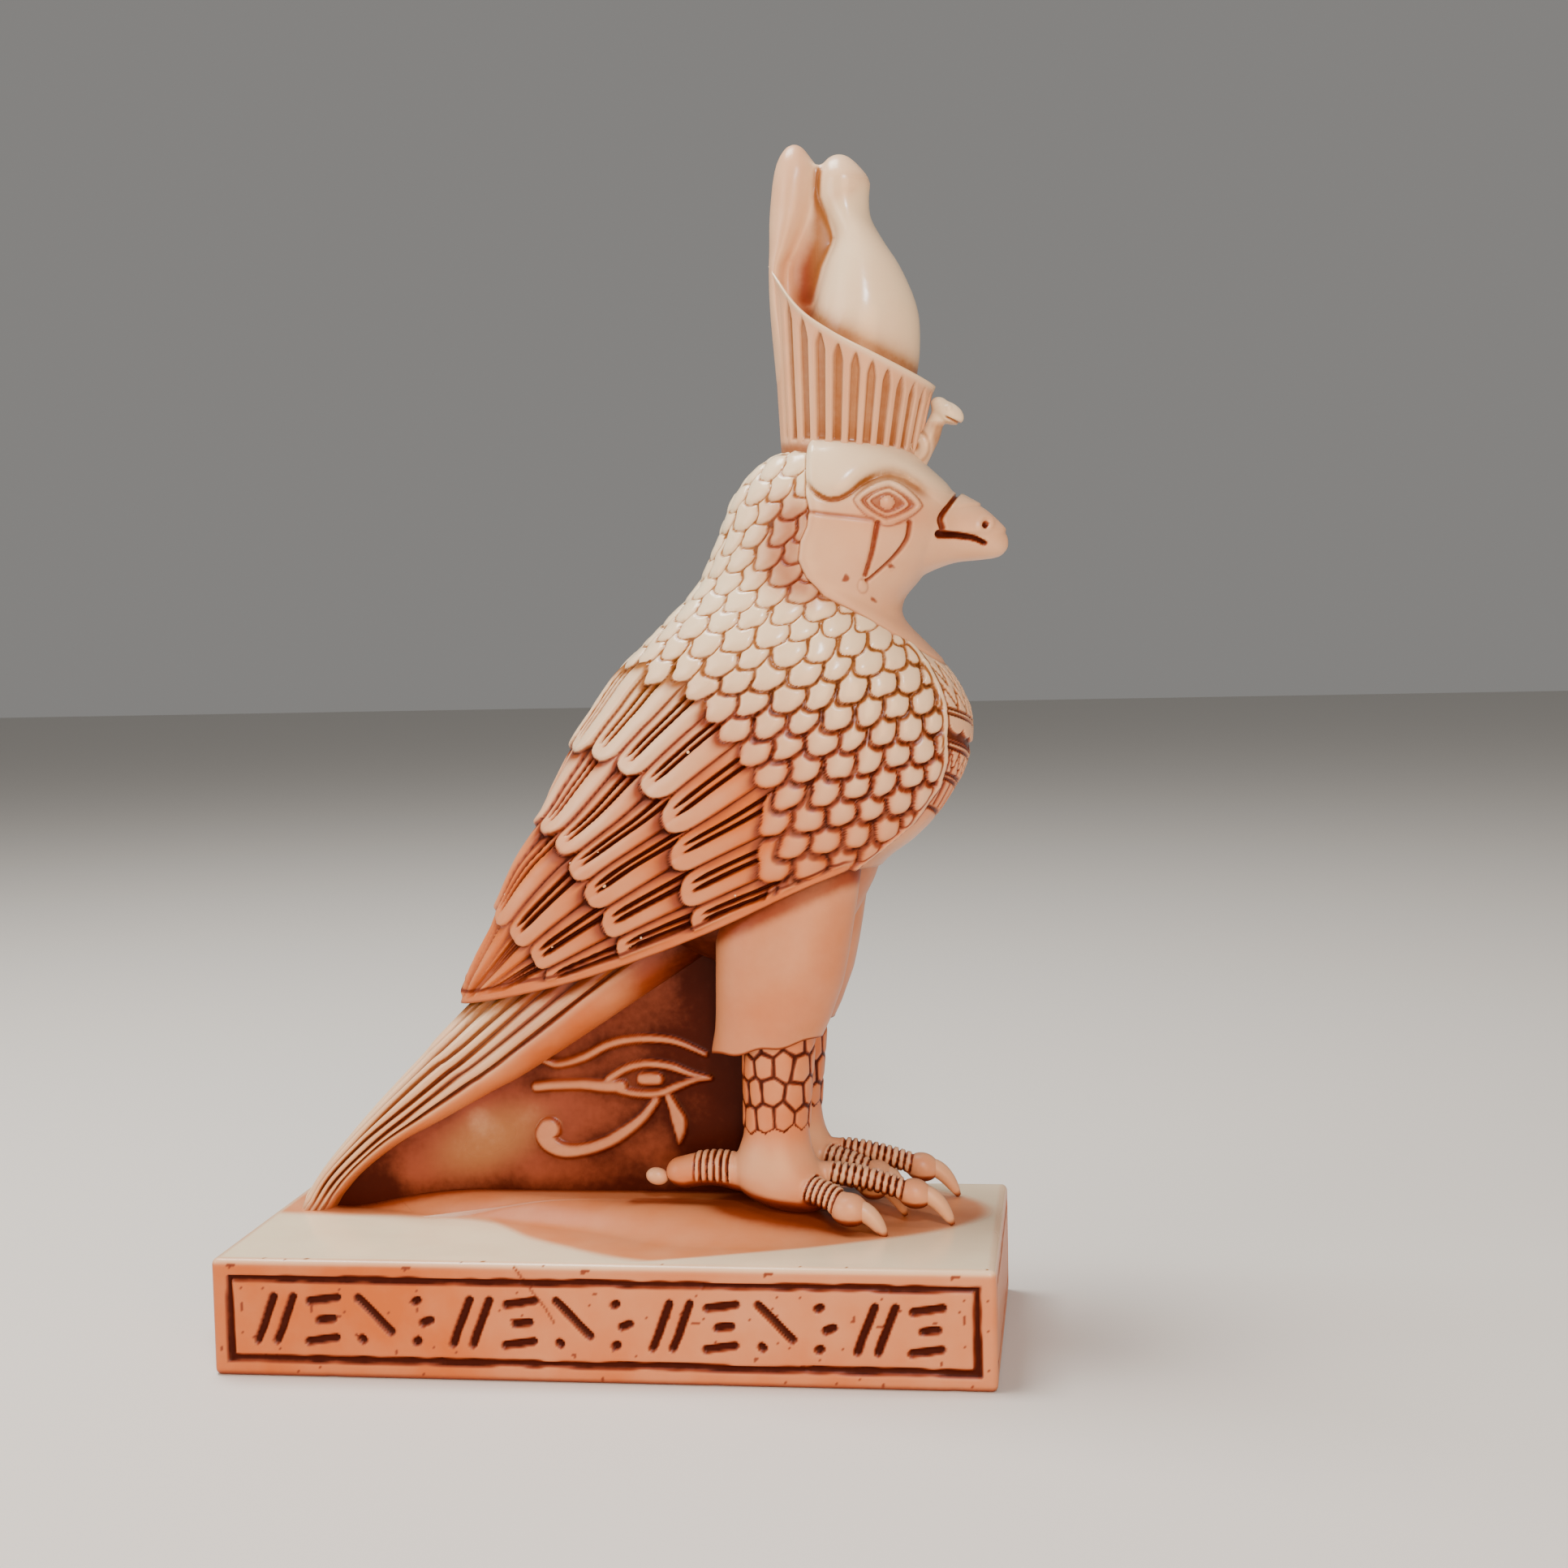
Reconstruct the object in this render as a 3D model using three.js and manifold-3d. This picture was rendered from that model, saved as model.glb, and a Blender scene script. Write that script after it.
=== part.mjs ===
// A falcon figure with the double crown, cast in one piece with its plinth.
// Millimetres, +Z up. The plinth's underside is centred on the origin and the falcon faces +X.

import * as THREE from 'three';
import { mergeVertices } from 'three/addons/utils/BufferGeometryUtils.js';
import Module from 'manifold-3d';

const wasm = await Module();
wasm.setup();

// Plinth
const PLINTH_LENGTH = 125;
const PLINTH_DEPTH = 54;
const PLINTH_HEIGHT = 19;
const PLINTH_EDGE_RADIUS = 1;
const PLINTH_EDGE_STEPS = 2;

// Carving on the plinth's sides: a sunk frame line around a row of plain strokes
const FRAME_INSET = 2.4;
const FRAME_LINE_WIDTH = 1.2;
const STROKE_WIDTH = 1.4;
const STROKE_PITCH = 8;
const STROKE_CLEARANCE = 1.4;
const CARVING_DEPTH = 0.8;

// Groups of strokes in turn: places as shares of the pitch and the row's height, and leans from level
const STROKE_GROUPS = [
  [
    { place: [-0.2, 0], length: 1, lean: 1.2 },
    { place: [0.2, 0], length: 1, lean: 1.2 },
  ],
  [
    { place: [0, 0.36], length: 0.66, lean: 0.15 },
    { place: [0.04, 0], length: 0.4, lean: 0.15 },
    { place: [-0.04, -0.36], length: 0.66, lean: 0.15 },
  ],
  [
    { place: [0.05, 0.1], length: 1, lean: -0.8 },
    { place: [-0.22, -0.34], length: 0.2, lean: -0.8 },
  ],
  [
    { place: [-0.1, 0.36], length: 0.2, lean: 0.4 },
    { place: [0.1, 0], length: 0.3, lean: 0.4 },
    { place: [-0.1, -0.36], length: 0.2, lean: 0.4 },
  ],
];

// Falcon, from the plinth's top to the tip of the crown's tall back
const FALCON_HEIGHT = 177.4;
const FALCON_SET_BACK = 8;

// The falcon's free forms below keep their shares of its height. They are drawn at DRAWN_HEIGHT:
// x runs forward from the plinth's middle, y to the falcon's left, and level up from the plinth's top.
const SINK = 1;

// Body, neck and head, from the wing tips up
const BODY_STATIONS = [
  { level: 34, back: -31, front: 36.5, half: 7.5, squareness: 0.6 },
  { level: 40.2, back: -27.3, front: 38, half: 10.8, squareness: 0.5 },
  { level: 49.4, back: -22.4, front: 40.5, half: 15.6, squareness: 0.42 },
  { level: 59.1, back: -18.2, front: 44.2, half: 17.6, squareness: 0.45 },
  { level: 68.2, back: -13.4, front: 51.8, half: 18.2, squareness: 0.62 },
  { level: 73.8, back: -11, front: 56.8, half: 18.4, squareness: 0.74 },
  { level: 80, back: -7.7, front: 58.5, half: 18.5, squareness: 0.8 },
  { level: 85, back: -4.5, front: 57.9, half: 18.2, squareness: 0.8 },
  { level: 91, back: -0.6, front: 54.6, half: 17.4, squareness: 0.8 },
  { level: 96, back: 4.5, front: 49.9, half: 16.2, squareness: 0.8 },
  { level: 100, back: 8.5, front: 47, half: 14.8, squareness: 0.8 },
  { level: 103, back: 11.5, front: 47.4, half: 13.8, squareness: 0.8 },
  { level: 106, back: 14, front: 49.9, half: 13.3, squareness: 0.8 },
  { level: 111.5, back: 16.6, front: 54, half: 13.5, squareness: 0.8 },
  { level: 118, back: 19.3, front: 55.5, half: 13.5, squareness: 0.8 },
  { level: 121, back: 20.9, front: 54.5, half: 13, squareness: 0.8 },
  { level: 125.5, back: 25.3, front: 48.5, half: 11.2, squareness: 0.8 },
  { level: 127, back: 29.5, front: 45.5, half: 9.3, squareness: 0.8 },
];
const BODY_COLUMNS = 16;
const BODY_ROWS = 20;
const SKIN_STEPS = 48;
const SCALE_RELIEF = 0.4;
const CHEST_PANEL = { back: 40, half: 9, bandRows: 3, relief: 0.5 };
const FACE = { back: 33, lowest: 104 };
const FEATHER_AREA = { front: 27, level: 62, slope: 1.05 };

// Lower edge of the folded wings and the chest
const WING_EDGE = [
  { along: -31, level: 34.6 },
  { along: -9, level: 40.4 },
  { along: 14, level: 48.7 },
  { along: 40, level: 60.3 },
  { along: 53, level: 69.4 },
];
const EDGE_PASSES = 6;

// Long feathers fan out from the wing's tip, on the body's skin laid flat
const FAN_CENTRE = { girth: 3, level: 34 };
const FAN_LOWEST = THREE.MathUtils.degToRad(21.5);
const FAN_SPAN = THREE.MathUtils.degToRad(69);
const FEATHER_TIERS = [
  { tip: 18.3, root: 34, count: 4 },
  { tip: 32, root: 47, count: 6 },
  { tip: 45.5, root: 59, count: 8 },
];
const FEATHER_TIP_LIFT = 1.4;
const FEATHER_ROOT_LIFT = 0.9;
const FEATHER_VALLEY = 0.6;
const FEATHER_TIP_ROUND = 3.2;
const FEATHER_SINK = 4;
const FEATHER_SHARES = [0, 0.25, 1];

// Belly under the wings
const BELLY_STATIONS = [
  { level: 40, back: 19, front: 28, half: 3.5 },
  { level: 43, back: 14, front: 32.5, half: 7 },
  { level: 48, back: 2, front: 38, half: 11.5 },
  { level: 56, back: -10, front: 43, half: 14.8 },
  { level: 64, back: -10, front: 47.5, half: 16 },
  { level: 74, back: -6, front: 53, half: 16.6 },
];
const BELLY_SIDES = 18;

// Tail: an upper ridge and a lower edge, from under the wings down to the plinth
const TAIL_STATIONS = [
  { top: [4, 66], bottom: [24, 51], half: 9.6 },
  { top: [-30.3, 32.9], bottom: [-14, 26.2], half: 9.3 },
  { top: [-36.2, 26.7], bottom: [-24.6, 20.2], half: 8.4 },
  { top: [-43.8, 18.9], bottom: [-33.5, 15.3], half: 7.4 },
  { top: [-49.6, 12.5], bottom: [-41.2, 11.2], half: 6.6 },
  { top: [-55.2, 5.8], bottom: [-48.6, 5.4], half: 5.8 },
  { top: [-59.4, -1], bottom: [-53.6, -1], half: 5 },
];
const TAIL_SIDES = 18;
const TAIL_SQUARENESS = 0.75;
const TAIL_GROOVE = 0.5;

// Web that fills the space between tail, belly and legs, with an eye in low relief on each face
const WEB_HALF = 1.7;
const WEB_OUTLINE = [[-54, -1], [-49, 6], [-33, 16.5], [-14, 28], [2, 46], [24, 50], [26, -1]];
const EYE_RELIEF = 0.9;
const EYE_STROKES = [
  { points: [[-15.3, 24.6], [-7, 26], [3.3, 30.2], [12.4, 26.4]], widths: [1.6, 1.6, 1.6, 0.7] },
  { points: [[-16.6, 20.4], [-8, 21.3], [-2.6, 21.6]], widths: [1.8, 1.5, 1.4] },
  { points: [[-3, 21.6], [4, 25], [13.6, 22.6]], widths: [1.2, 1.2, 0.5] },
  { points: [[-3, 21.5], [3.6, 20], [13.6, 22.4]], widths: [1.2, 1.2, 0.5] },
  { points: [[1.6, 22.4], [5.4, 22.5]], widths: [1.9, 1.9] },
  { points: [[4, 19.6], [-3, 11.4], [-9.4, 8.3], [-15.4, 11.2], [-15.2, 15.4], [-12.4, 13.6]],
    widths: [2, 2, 2, 1.9, 1.6, 1] },
  { points: [[6.2, 19.6], [7.4, 15.5], [9, 11.4]], widths: [1.1, 2.8, 1.6] },
];
const EYE_STROKE_STEPS = 3;

// Low swell of the ground under the web and the feet
const SWELL = { middle: -3, halfLong: 49, halfWide: 19, rise: 3.2, steps: 14 };

// Legs: each is drawn for the falcon's right and mirrored
const LEG_OFFSET = 9;
const THIGH_STATIONS = [
  { level: 29, back: 15.2, front: 33.6, half: 6.8, slope: 0.16 },
  { level: 33, back: 15.9, front: 34.9, half: 7.4, slope: 0.12 },
  { level: 43, back: 16.2, front: 37.6, half: 7.6 },
  { level: 53, back: 16.5, front: 39.4, half: 6.4 },
  { level: 62, back: 18, front: 41, half: 5 },
];
const SHANK_STATIONS = [
  { level: 0, back: 20, front: 33, half: 5.6 },
  { level: 5, back: 18.4, front: 34.6, half: 6.2 },
  { level: 9, back: 18.6, front: 33.6, half: 6 },
  { level: 14, back: 20, front: 31.6, half: 5.4 },
  { level: 17.4, back: 20.3, front: 31, half: 5.2 },
];
const ANKLE = { lowest: 18.4, back: 20.3, front: 31, half: 5.2, pitch: 3.6, rows: 3, relief: 0.6, top: 33 };
const LEG_SIDES = 9;
const THIGH_SQUARENESS = 0.9;

// Toes: start, ball and claw tip as [x, offset from the leg, level]
const OUTER_TOE = {
  start: [29, -3, 6], ball: [38.1, -6.4, 4.6], claw: [44, -7.2, 0], radius: 2.3, ballRadius: 2.9, rings: 2,
};
const MIDDLE_TOE = {
  start: [31, 0.5, 8.5], ball: [48.6, 0, 6.2], claw: [54.3, -0.3, 0.4], radius: 2.1, ballRadius: 2.6,
  rings: 4,
};
const INNER_TOE = {
  start: [30, 3, 8], ball: [41, 4.6, 5.6], claw: [46, 4.9, 0.4], radius: 1.9, ballRadius: 2.4, rings: 1,
};
const HIND_TOE = {
  start: [20, 0, 8.2], ball: [9, 0.5, 8], claw: [3.4, 0.8, 6.4], radius: 2.6, ballRadius: 2.9, rings: 2,
};
const TOE_RING_RELIEF = 0.45;
const TOE_SIDES = 6;
const BALL_SHARES = [-0.6, 0.2, 0.9];
const CLAW = { sides: 5, bendAlong: 0.55, bendDrop: 0.3, radii: [0.6, 0.5, 0.12] };

// Beak, from the face forward
const BEAK_STATIONS = [
  { along: 47, low: 105.5, high: 122.6, half: 9.5 },
  { along: 52.6, low: 107.7, high: 121.6, half: 7.4 },
  { along: 56.2, low: 108.9, high: 119.3, half: 5.2 },
  { along: 60.7, low: 109.2, high: 116.6, half: 3.6 },
  { along: 63.4, low: 109.7, high: 114.2, half: 2.3 },
  { along: 64.5, low: 110.8, high: 112.4, half: 1 },
];
const BEAK_SIDES = 12;
const BEAK_ROUNDNESS = 0.9;

// Mouth line and the step at the beak's root, sunk in the beak's sides as [along, level] lines
const BEAK_LINES = [
  [[52.9, 113], [58.5, 113], [62, 111.3]],
  [[54.6, 113.2], [55.4, 116], [56.8, 118.6]],
];
const BEAK_LINE = { radius: 0.7, sides: 5 };

// Brow, eye and the drop below it, placed on the side of the head
const BROW = { start: [34.5, 119.8], end: [55, 117.5], arch: 2.2, inset: 11, reach: 5.6 };
const BROW_STATIONS = [
  { share: 0, radius: 1.6 },
  { share: 0.25, radius: 3.2 },
  { share: 0.55, radius: 2.6 },
  { share: 0.8, radius: 2 },
  { share: 1, radius: 0.6 },
];
const EYE = {
  along: 45.7, level: BROW.start[1] - 1.6, halfLong: 4.6, halfHigh: 2.8, inset: 12.4, lift: 1.2, pupil: 1.6,
};
const PUPIL_LIFT = 0.6;
const DROP_STATIONS = [
  { point: [46.6, 12, 115.4], radius: 1.5 },
  { point: [45, 12.7, 110.5], radius: 1.3 },
  { point: [41.6, 12.9, 105.8], radius: 0.5 },
];
const SMALL_STEPS = 8;

// Red crown: a fluted bowl, cut off on a slant, whose back rises in a tall blade
const BOWL_STATIONS = [
  { share: 0, back: 27.9, front: 49.4, half: 10.6 },
  { share: 0.12, back: 27.7, front: 50, half: 10.9 },
  { share: 0.9, back: 26.7, front: 52.8, half: 12.4 },
  { share: 1, back: 26.6, front: 53.1, half: 12.5 },
];
const BOWL_BASE = { back: 125.6, front: 122.5 };
const BOWL_RIM = [
  { along: 26.5, level: 158 },
  { along: 32, level: 150 },
  { along: 37.5, level: 145.6 },
  { along: 44, level: 142 },
  { along: 53, level: 137.4 },
];
const FLUTES = 26;
const FLUTE_DEPTH = 0.6;

const BLADE_STATIONS = [
  { level: 140, back: 27.2, front: 35.5, half: 6.4 },
  { level: 152, back: 26.5, front: 34.6, half: 5.6 },
  { level: 163, back: 26.6, front: 34.2, half: 5.1 },
  { level: 171, back: 27.2, front: 34.4, half: 4.7 },
  { level: 175.4, back: 28.5, front: 33.4, half: 3.4 },
  { level: 177.4, back: 30, front: 31.6, half: 1 },
];
const DRAWN_HEIGHT = BLADE_STATIONS[BLADE_STATIONS.length - 1].level;

// White crown: a tall bulb with a round knob
const BULB_STATIONS = [
  { level: 128, back: 32, front: 47.6, half: 7.8 },
  { level: 140, back: 30.4, front: 50.5, half: 10.1 },
  { level: 146.5, back: 30, front: 51, half: 10.5 },
  { level: 151, back: 30.3, front: 50.4, half: 10 },
  { level: 158, back: 31, front: 47.3, half: 8.2 },
  { level: 162.5, back: 31.8, front: 44.5, half: 6.4 },
  { level: 166.4, back: 32.3, front: 43.1, half: 5.4 },
  { level: 170, back: 32.5, front: 43.3, half: 5.4 },
  { level: 173.2, back: 33.6, front: 41.7, half: 4.1 },
  { level: 175.4, back: 36.4, front: 38.6, half: 1.1 },
];
const CROWN_SIDES = 16;
const BLADE_SIDES = 12;

// Cobra at the crown's foot
const COBRA_HEAD = { middle: [55.2, 0, 132.7], halfLong: 2.9, halfWide: 2.1, halfHigh: 2, tilt: 0.45 };
const COBRA_NECK = { points: [[49, 0, 124], [51.8, 0, 129], [53.8, 0, 132.6]], radii: [2.5, 1.9, 1.7] };
const COBRA_COIL = { middle: [50, 0, 127.6], size: [1.8, 3.2, 3] };

// Steps round a rounded form, and its rows as a share of them
const ROUND_STEPS = 9;
const ROUND_SHARE = 0.7;

// Points of one geometry closer than this are one point
const MERGE_DISTANCE = 1e-4;

/** One falcon coordinate triple, drawn at DRAWN_HEIGHT, as a point of the model. */
function falconPoint(x, y, level) {
  const unit = FALCON_HEIGHT / DRAWN_HEIGHT;
  return new THREE.Vector3(x * unit, y * unit + FALCON_SET_BACK, level * unit + PLINTH_HEIGHT);
}

/** A manifold solid from a closed three.js geometry. */
function solidOf(geometry) {
  const bare = geometry.clone();
  bare.deleteAttribute('normal');
  bare.deleteAttribute('uv');
  const merged = mergeVertices(bare, MERGE_DISTANCE);
  return new wasm.Manifold(new wasm.Mesh({
    numProp: 3,
    vertProperties: new Float32Array(merged.attributes.position.array),
    triVerts: new Uint32Array(merged.index.array),
  }));
}

/** A three.js geometry from a manifold solid. */
function geometryOf(solid) {
  const mesh = solid.getMesh();
  const geometry = new THREE.BufferGeometry();
  geometry.setAttribute('position', new THREE.BufferAttribute(new Float32Array(mesh.vertProperties), 3));
  geometry.setIndex(new THREE.BufferAttribute(new Uint32Array(mesh.triVerts), 1));
  geometry.computeVertexNormals();
  return geometry;
}

/** The volume that an indexed surface encloses, negative where its faces point in. */
function enclosedVolume(points, index) {
  let volume = 0;
  for (let i = 0; i < index.length; i += 3) {
    const [a, b, c] = [points[index[i]], points[index[i + 1]], points[index[i + 2]]];
    volume += a.dot(b.clone().cross(c)) / 6;
  }
  return volume;
}

/** A closed solid over rings of equal counts; each end is closed by a strip from side to side. */
function loft(rings) {
  const count = rings[0].length;
  const points = rings.flat();
  const index = [];
  for (let r = 0; r + 1 < rings.length; r += 1) {
    for (let i = 0; i < count; i += 1) {
      const a = r * count + i;
      const b = r * count + ((i + 1) % count);
      index.push(a, b, b + count, a, b + count, a + count);
    }
  }
  const last = (rings.length - 1) * count;
  for (let i = 0; i < count / 2; i += 1) {
    const [a, b, c, d] = [i, i + 1, (count - i) % count, count - i - 1];
    if (a !== c) {
      index.push(a, c, b);
      index.push(last + a, last + b, last + c);
    }
    if (b !== d) {
      index.push(b, c, d);
      index.push(last + b, last + d, last + c);
    }
  }
  if (enclosedVolume(points, index) < 0) index.reverse();
  const geometry = new THREE.BufferGeometry().setFromPoints(points);
  geometry.setIndex(index);
  return solidOf(geometry);
}

/** A number drawn towards zero or one by a power, keeping its sign. */
function signedPower(value, power) {
  return Math.sign(value) * Math.abs(value) ** power;
}

/** A value of a station table at a given place, on a smooth curve through the stations. */
function smoothAt(stations, placeKey, place, key) {
  const last = stations.length - 1;
  let i = 0;
  while (i < last - 1 && place > stations[i + 1][placeKey]) i += 1;
  const [p, q] = [stations[i], stations[i + 1]];
  const span = q[placeKey] - p[placeKey];
  const slope = (a, b) => (b[key] - a[key]) / (b[placeKey] - a[placeKey]);
  const startSlope = i > 0 ? slope(stations[i - 1], q) : slope(p, q);
  const endSlope = i + 1 < last ? slope(p, stations[i + 2]) : slope(p, q);
  const t = THREE.MathUtils.clamp((place - p[placeKey]) / span, 0, 1);
  return (2 * t ** 3 - 3 * t ** 2 + 1) * p[key] + (t ** 3 - 2 * t ** 2 + t) * span * startSlope
    + (3 * t ** 2 - 2 * t ** 3) * q[key] + (t ** 3 - t ** 2) * span * endSlope;
}

/** One level section as drawn [x, y] pairs, from the back round the right side to the front and on. */
function levelSection({ back, front, half }, count, squareness, middle = 0) {
  const section = [];
  for (let i = 0; i < count; i += 1) {
    const turn = (2 * Math.PI * i) / count;
    section.push([
      (back + front) / 2 - ((front - back) / 2) * Math.cos(turn),
      middle - half * signedPower(Math.sin(turn), squareness),
    ]);
  }
  return section;
}

/** A solid over level sections, each one optionally sloping up towards the front. */
function levelLoft(stations, count, squareness = 1, middle = 0) {
  return loft(stations.map((station) => levelSection(station, count, squareness, middle).map(
    ([x, y]) => falconPoint(x, y, station.level + (station.slope ?? 0) * (x - station.back)),
  )));
}

/** A solid along drawn points with a radius at each, round in section. */
function limb(points, radii, sides) {
  const path = points.map(([x, y, level]) => new THREE.Vector3(x, y, level));
  const rings = path.map((point, i) => {
    const before = path[Math.max(i - 1, 0)];
    const after = path[Math.min(i + 1, path.length - 1)];
    const ahead = after.clone().sub(before).normalize();
    const side = new THREE.Vector3(0, 1, 0).cross(ahead).normalize();
    const across = ahead.clone().cross(side);
    return Array.from({ length: sides }, (_, k) => {
      const turn = (2 * Math.PI * k) / sides;
      const rim = point.clone()
        .addScaledVector(side, radii[i] * Math.cos(turn))
        .addScaledVector(across, radii[i] * Math.sin(turn));
      return falconPoint(rim.x, rim.y, rim.z);
    });
  });
  return loft(rings);
}

/** An ellipsoid in the falcon's frame, tilted nose down about y. */
function ellipsoid([x, y, level], [halfLong, halfWide, halfHigh], tilt = 0, steps = ROUND_STEPS) {
  const geometry = new THREE.SphereGeometry(1, steps, Math.round(steps * ROUND_SHARE));
  geometry.rotateX(Math.PI / 2);
  geometry.scale(halfLong, halfWide, halfHigh);
  geometry.rotateY(tilt);
  geometry.translate(x, y, level);
  const unit = FALCON_HEIGHT / DRAWN_HEIGHT;
  geometry.scale(unit, unit, unit);
  geometry.translate(0, FALCON_SET_BACK, PLINTH_HEIGHT);
  return solidOf(geometry);
}

/** The body's section sizes at a level. */
function bodyStation(level) {
  return {
    back: smoothAt(BODY_STATIONS, 'level', level, 'back'),
    front: smoothAt(BODY_STATIONS, 'level', level, 'front'),
    half: smoothAt(BODY_STATIONS, 'level', level, 'half'),
    squareness: smoothAt(BODY_STATIONS, 'level', level, 'squareness'),
  };
}

/** The body's level section. */
function bodySection(level, count) {
  const station = bodyStation(level);
  return levelSection(station, count, station.squareness);
}

/** A point of the body's right side by its girth from the spine, with the way out of the skin. */
function bodySkin(girth, level) {
  const half = bodySection(level, 2 * SKIN_STEPS).slice(0, SKIN_STEPS + 1);
  let walked = 0;
  for (let i = 0; i < SKIN_STEPS; i += 1) {
    const [ax, ay] = half[i];
    const [bx, by] = half[i + 1];
    const step = Math.hypot(bx - ax, by - ay);
    if (walked + step >= girth || i === SKIN_STEPS - 1) {
      const t = (girth - walked) / step;
      return { x: ax + (bx - ax) * t, y: ay + (by - ay) * t, out: [(by - ay) / step, -(bx - ax) / step] };
    }
    walked += step;
  }
  return null;
}

/** How far the carving lifts the body's skin at one crossing of its rows and columns. */
function bodyRelief(x, y, level, row, column) {
  const feathered = x < FEATHER_AREA.front && level < FEATHER_AREA.level + FEATHER_AREA.slope * x;
  const face = x > FACE.back && level > FACE.lowest;
  if (feathered || face || row === 0 || row === BODY_ROWS) return 0;
  if (x > CHEST_PANEL.back && Math.abs(y) < CHEST_PANEL.half) {
    return row % CHEST_PANEL.bandRows === 0 ? -CHEST_PANEL.relief : 0;
  }
  return (row + column) % 2 === 0 ? SCALE_RELIEF : -SCALE_RELIEF;
}

/** Body with folded wings, neck and head, from the wings' lower edge to the crown. */
function body() {
  const count = 2 * BODY_COLUMNS;
  const top = BODY_STATIONS[BODY_STATIONS.length - 1].level;
  const columnAt = (level, i) => bodySection(level, count)[i];
  const edgeLevels = Array.from({ length: count }, (_, i) => {
    let level = WING_EDGE[0].level;
    for (let pass = 0; pass < EDGE_PASSES; pass += 1) {
      level = smoothAt(WING_EDGE, 'along', columnAt(level, i)[0], 'level');
    }
    return level;
  });
  const rings = [];
  for (let row = 0; row <= BODY_ROWS; row += 1) {
    rings.push(edgeLevels.map((edge, i) => {
      const level = edge + ((top - edge) * row) / BODY_ROWS;
      const { back, front, half } = bodyStation(level);
      const [x, y] = columnAt(level, i);
      const lift = bodyRelief(x, y, level, row, i);
      const centre = (back + front) / 2;
      return falconPoint(x + (lift * (x - centre)) / (front - centre), y + (lift * y) / half, level);
    }));
  }
  return loft(rings);
}

/** One tier of long feathers as a slab on the skin, with a valley between feathers and round tips. */
function featherTier({ tip, root, count }, side) {
  const onSkin = (turn, radius, lift) => {
    const level = FAN_CENTRE.level + radius * Math.sin(turn);
    const skin = bodySkin(FAN_CENTRE.girth + radius * Math.cos(turn), level);
    return falconPoint(skin.x + skin.out[0] * lift, side * (skin.y + skin.out[1] * lift), level);
  };
  return loft(FEATHER_SHARES.map((along) => {
    const upper = [];
    const lower = [];
    for (let column = 0; column <= 2 * count; column += 1) {
      const valley = column % 2 === 0;
      const turn = FAN_LOWEST + (FAN_SPAN * column) / (2 * count);
      const lift = THREE.MathUtils.lerp(FEATHER_TIP_LIFT, FEATHER_ROOT_LIFT, along);
      const radius = THREE.MathUtils.lerp(tip, root, along) + (valley && along < 1 ? FEATHER_TIP_ROUND : 0);
      upper.push(onSkin(turn, radius, lift - (valley ? FEATHER_VALLEY : 0)));
      lower.unshift(onSkin(turn, radius, -FEATHER_SINK));
    }
    return [...upper, ...lower];
  }));
}

/** Tail with lengthwise grooves, running down and back to the plinth. */
function tail() {
  return loft(TAIL_STATIONS.map(({ top, bottom, half }) => {
    const middle = [(top[0] + bottom[0]) / 2, (top[1] + bottom[1]) / 2];
    const arm = [(top[0] - bottom[0]) / 2, (top[1] - bottom[1]) / 2];
    return Array.from({ length: TAIL_SIDES }, (_, i) => {
      const turn = (2 * Math.PI * i) / TAIL_SIDES;
      const groove = i % 2 === 0 ? 0 : TAIL_GROOVE;
      const up = signedPower(Math.cos(turn), TAIL_SQUARENESS) * (1 - groove / half);
      const out = signedPower(Math.sin(turn), TAIL_SQUARENESS) * (half - groove);
      return falconPoint(middle[0] + arm[0] * up, -out, middle[1] + arm[1] * up);
    });
  }));
}

/** A flat shape in the falcon's side view, extruded to both sides of its middle plane. */
function sidePlate(outline, halfThickness) {
  const unit = FALCON_HEIGHT / DRAWN_HEIGHT;
  const shape = new THREE.Shape(outline.map(([x, level]) => new THREE.Vector2(x * unit, level * unit)));
  const depth = 2 * halfThickness * unit;
  const geometry = new THREE.ExtrudeGeometry(shape, { depth, bevelEnabled: false });
  geometry.rotateX(Math.PI / 2);
  geometry.translate(0, FALCON_SET_BACK + depth / 2, PLINTH_HEIGHT);
  return solidOf(geometry);
}

/** The outline of a brush stroke along drawn points, with a width at each. */
function strokeOutline(points, widths) {
  const path = new THREE.SplineCurve(points.map(([x, y]) => new THREE.Vector2(x, y)));
  const left = [];
  const right = [];
  for (let i = 0; i <= EYE_STROKE_STEPS; i += 1) {
    const t = i / EYE_STROKE_STEPS;
    const place = t * (widths.length - 1);
    const k = Math.min(Math.floor(place), widths.length - 2);
    const halfWidth = THREE.MathUtils.lerp(widths[k], widths[k + 1], place - k) / 2;
    const point = path.getPoint(t);
    const tangent = path.getTangent(t);
    left.push([point.x - tangent.y * halfWidth, point.y + tangent.x * halfWidth]);
    right.unshift([point.x + tangent.y * halfWidth, point.y - tangent.x * halfWidth]);
  }
  return [...left, ...right];
}

/** Web between tail and legs, with the eye in relief on both faces. */
function web() {
  const reliefHalf = WEB_HALF + EYE_RELIEF;
  return [
    sidePlate(WEB_OUTLINE, WEB_HALF),
    ...EYE_STROKES.map(({ points, widths }) => sidePlate(strokeOutline(points, widths), reliefHalf)),
  ];
}

/** Low swell of the ground that the web and the feet rise from. */
function swell() {
  const { middle, halfLong, halfWide, rise, steps } = SWELL;
  return ellipsoid([middle, 0, -SINK], [halfLong, halfWide, rise + SINK], 0, steps);
}

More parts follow.
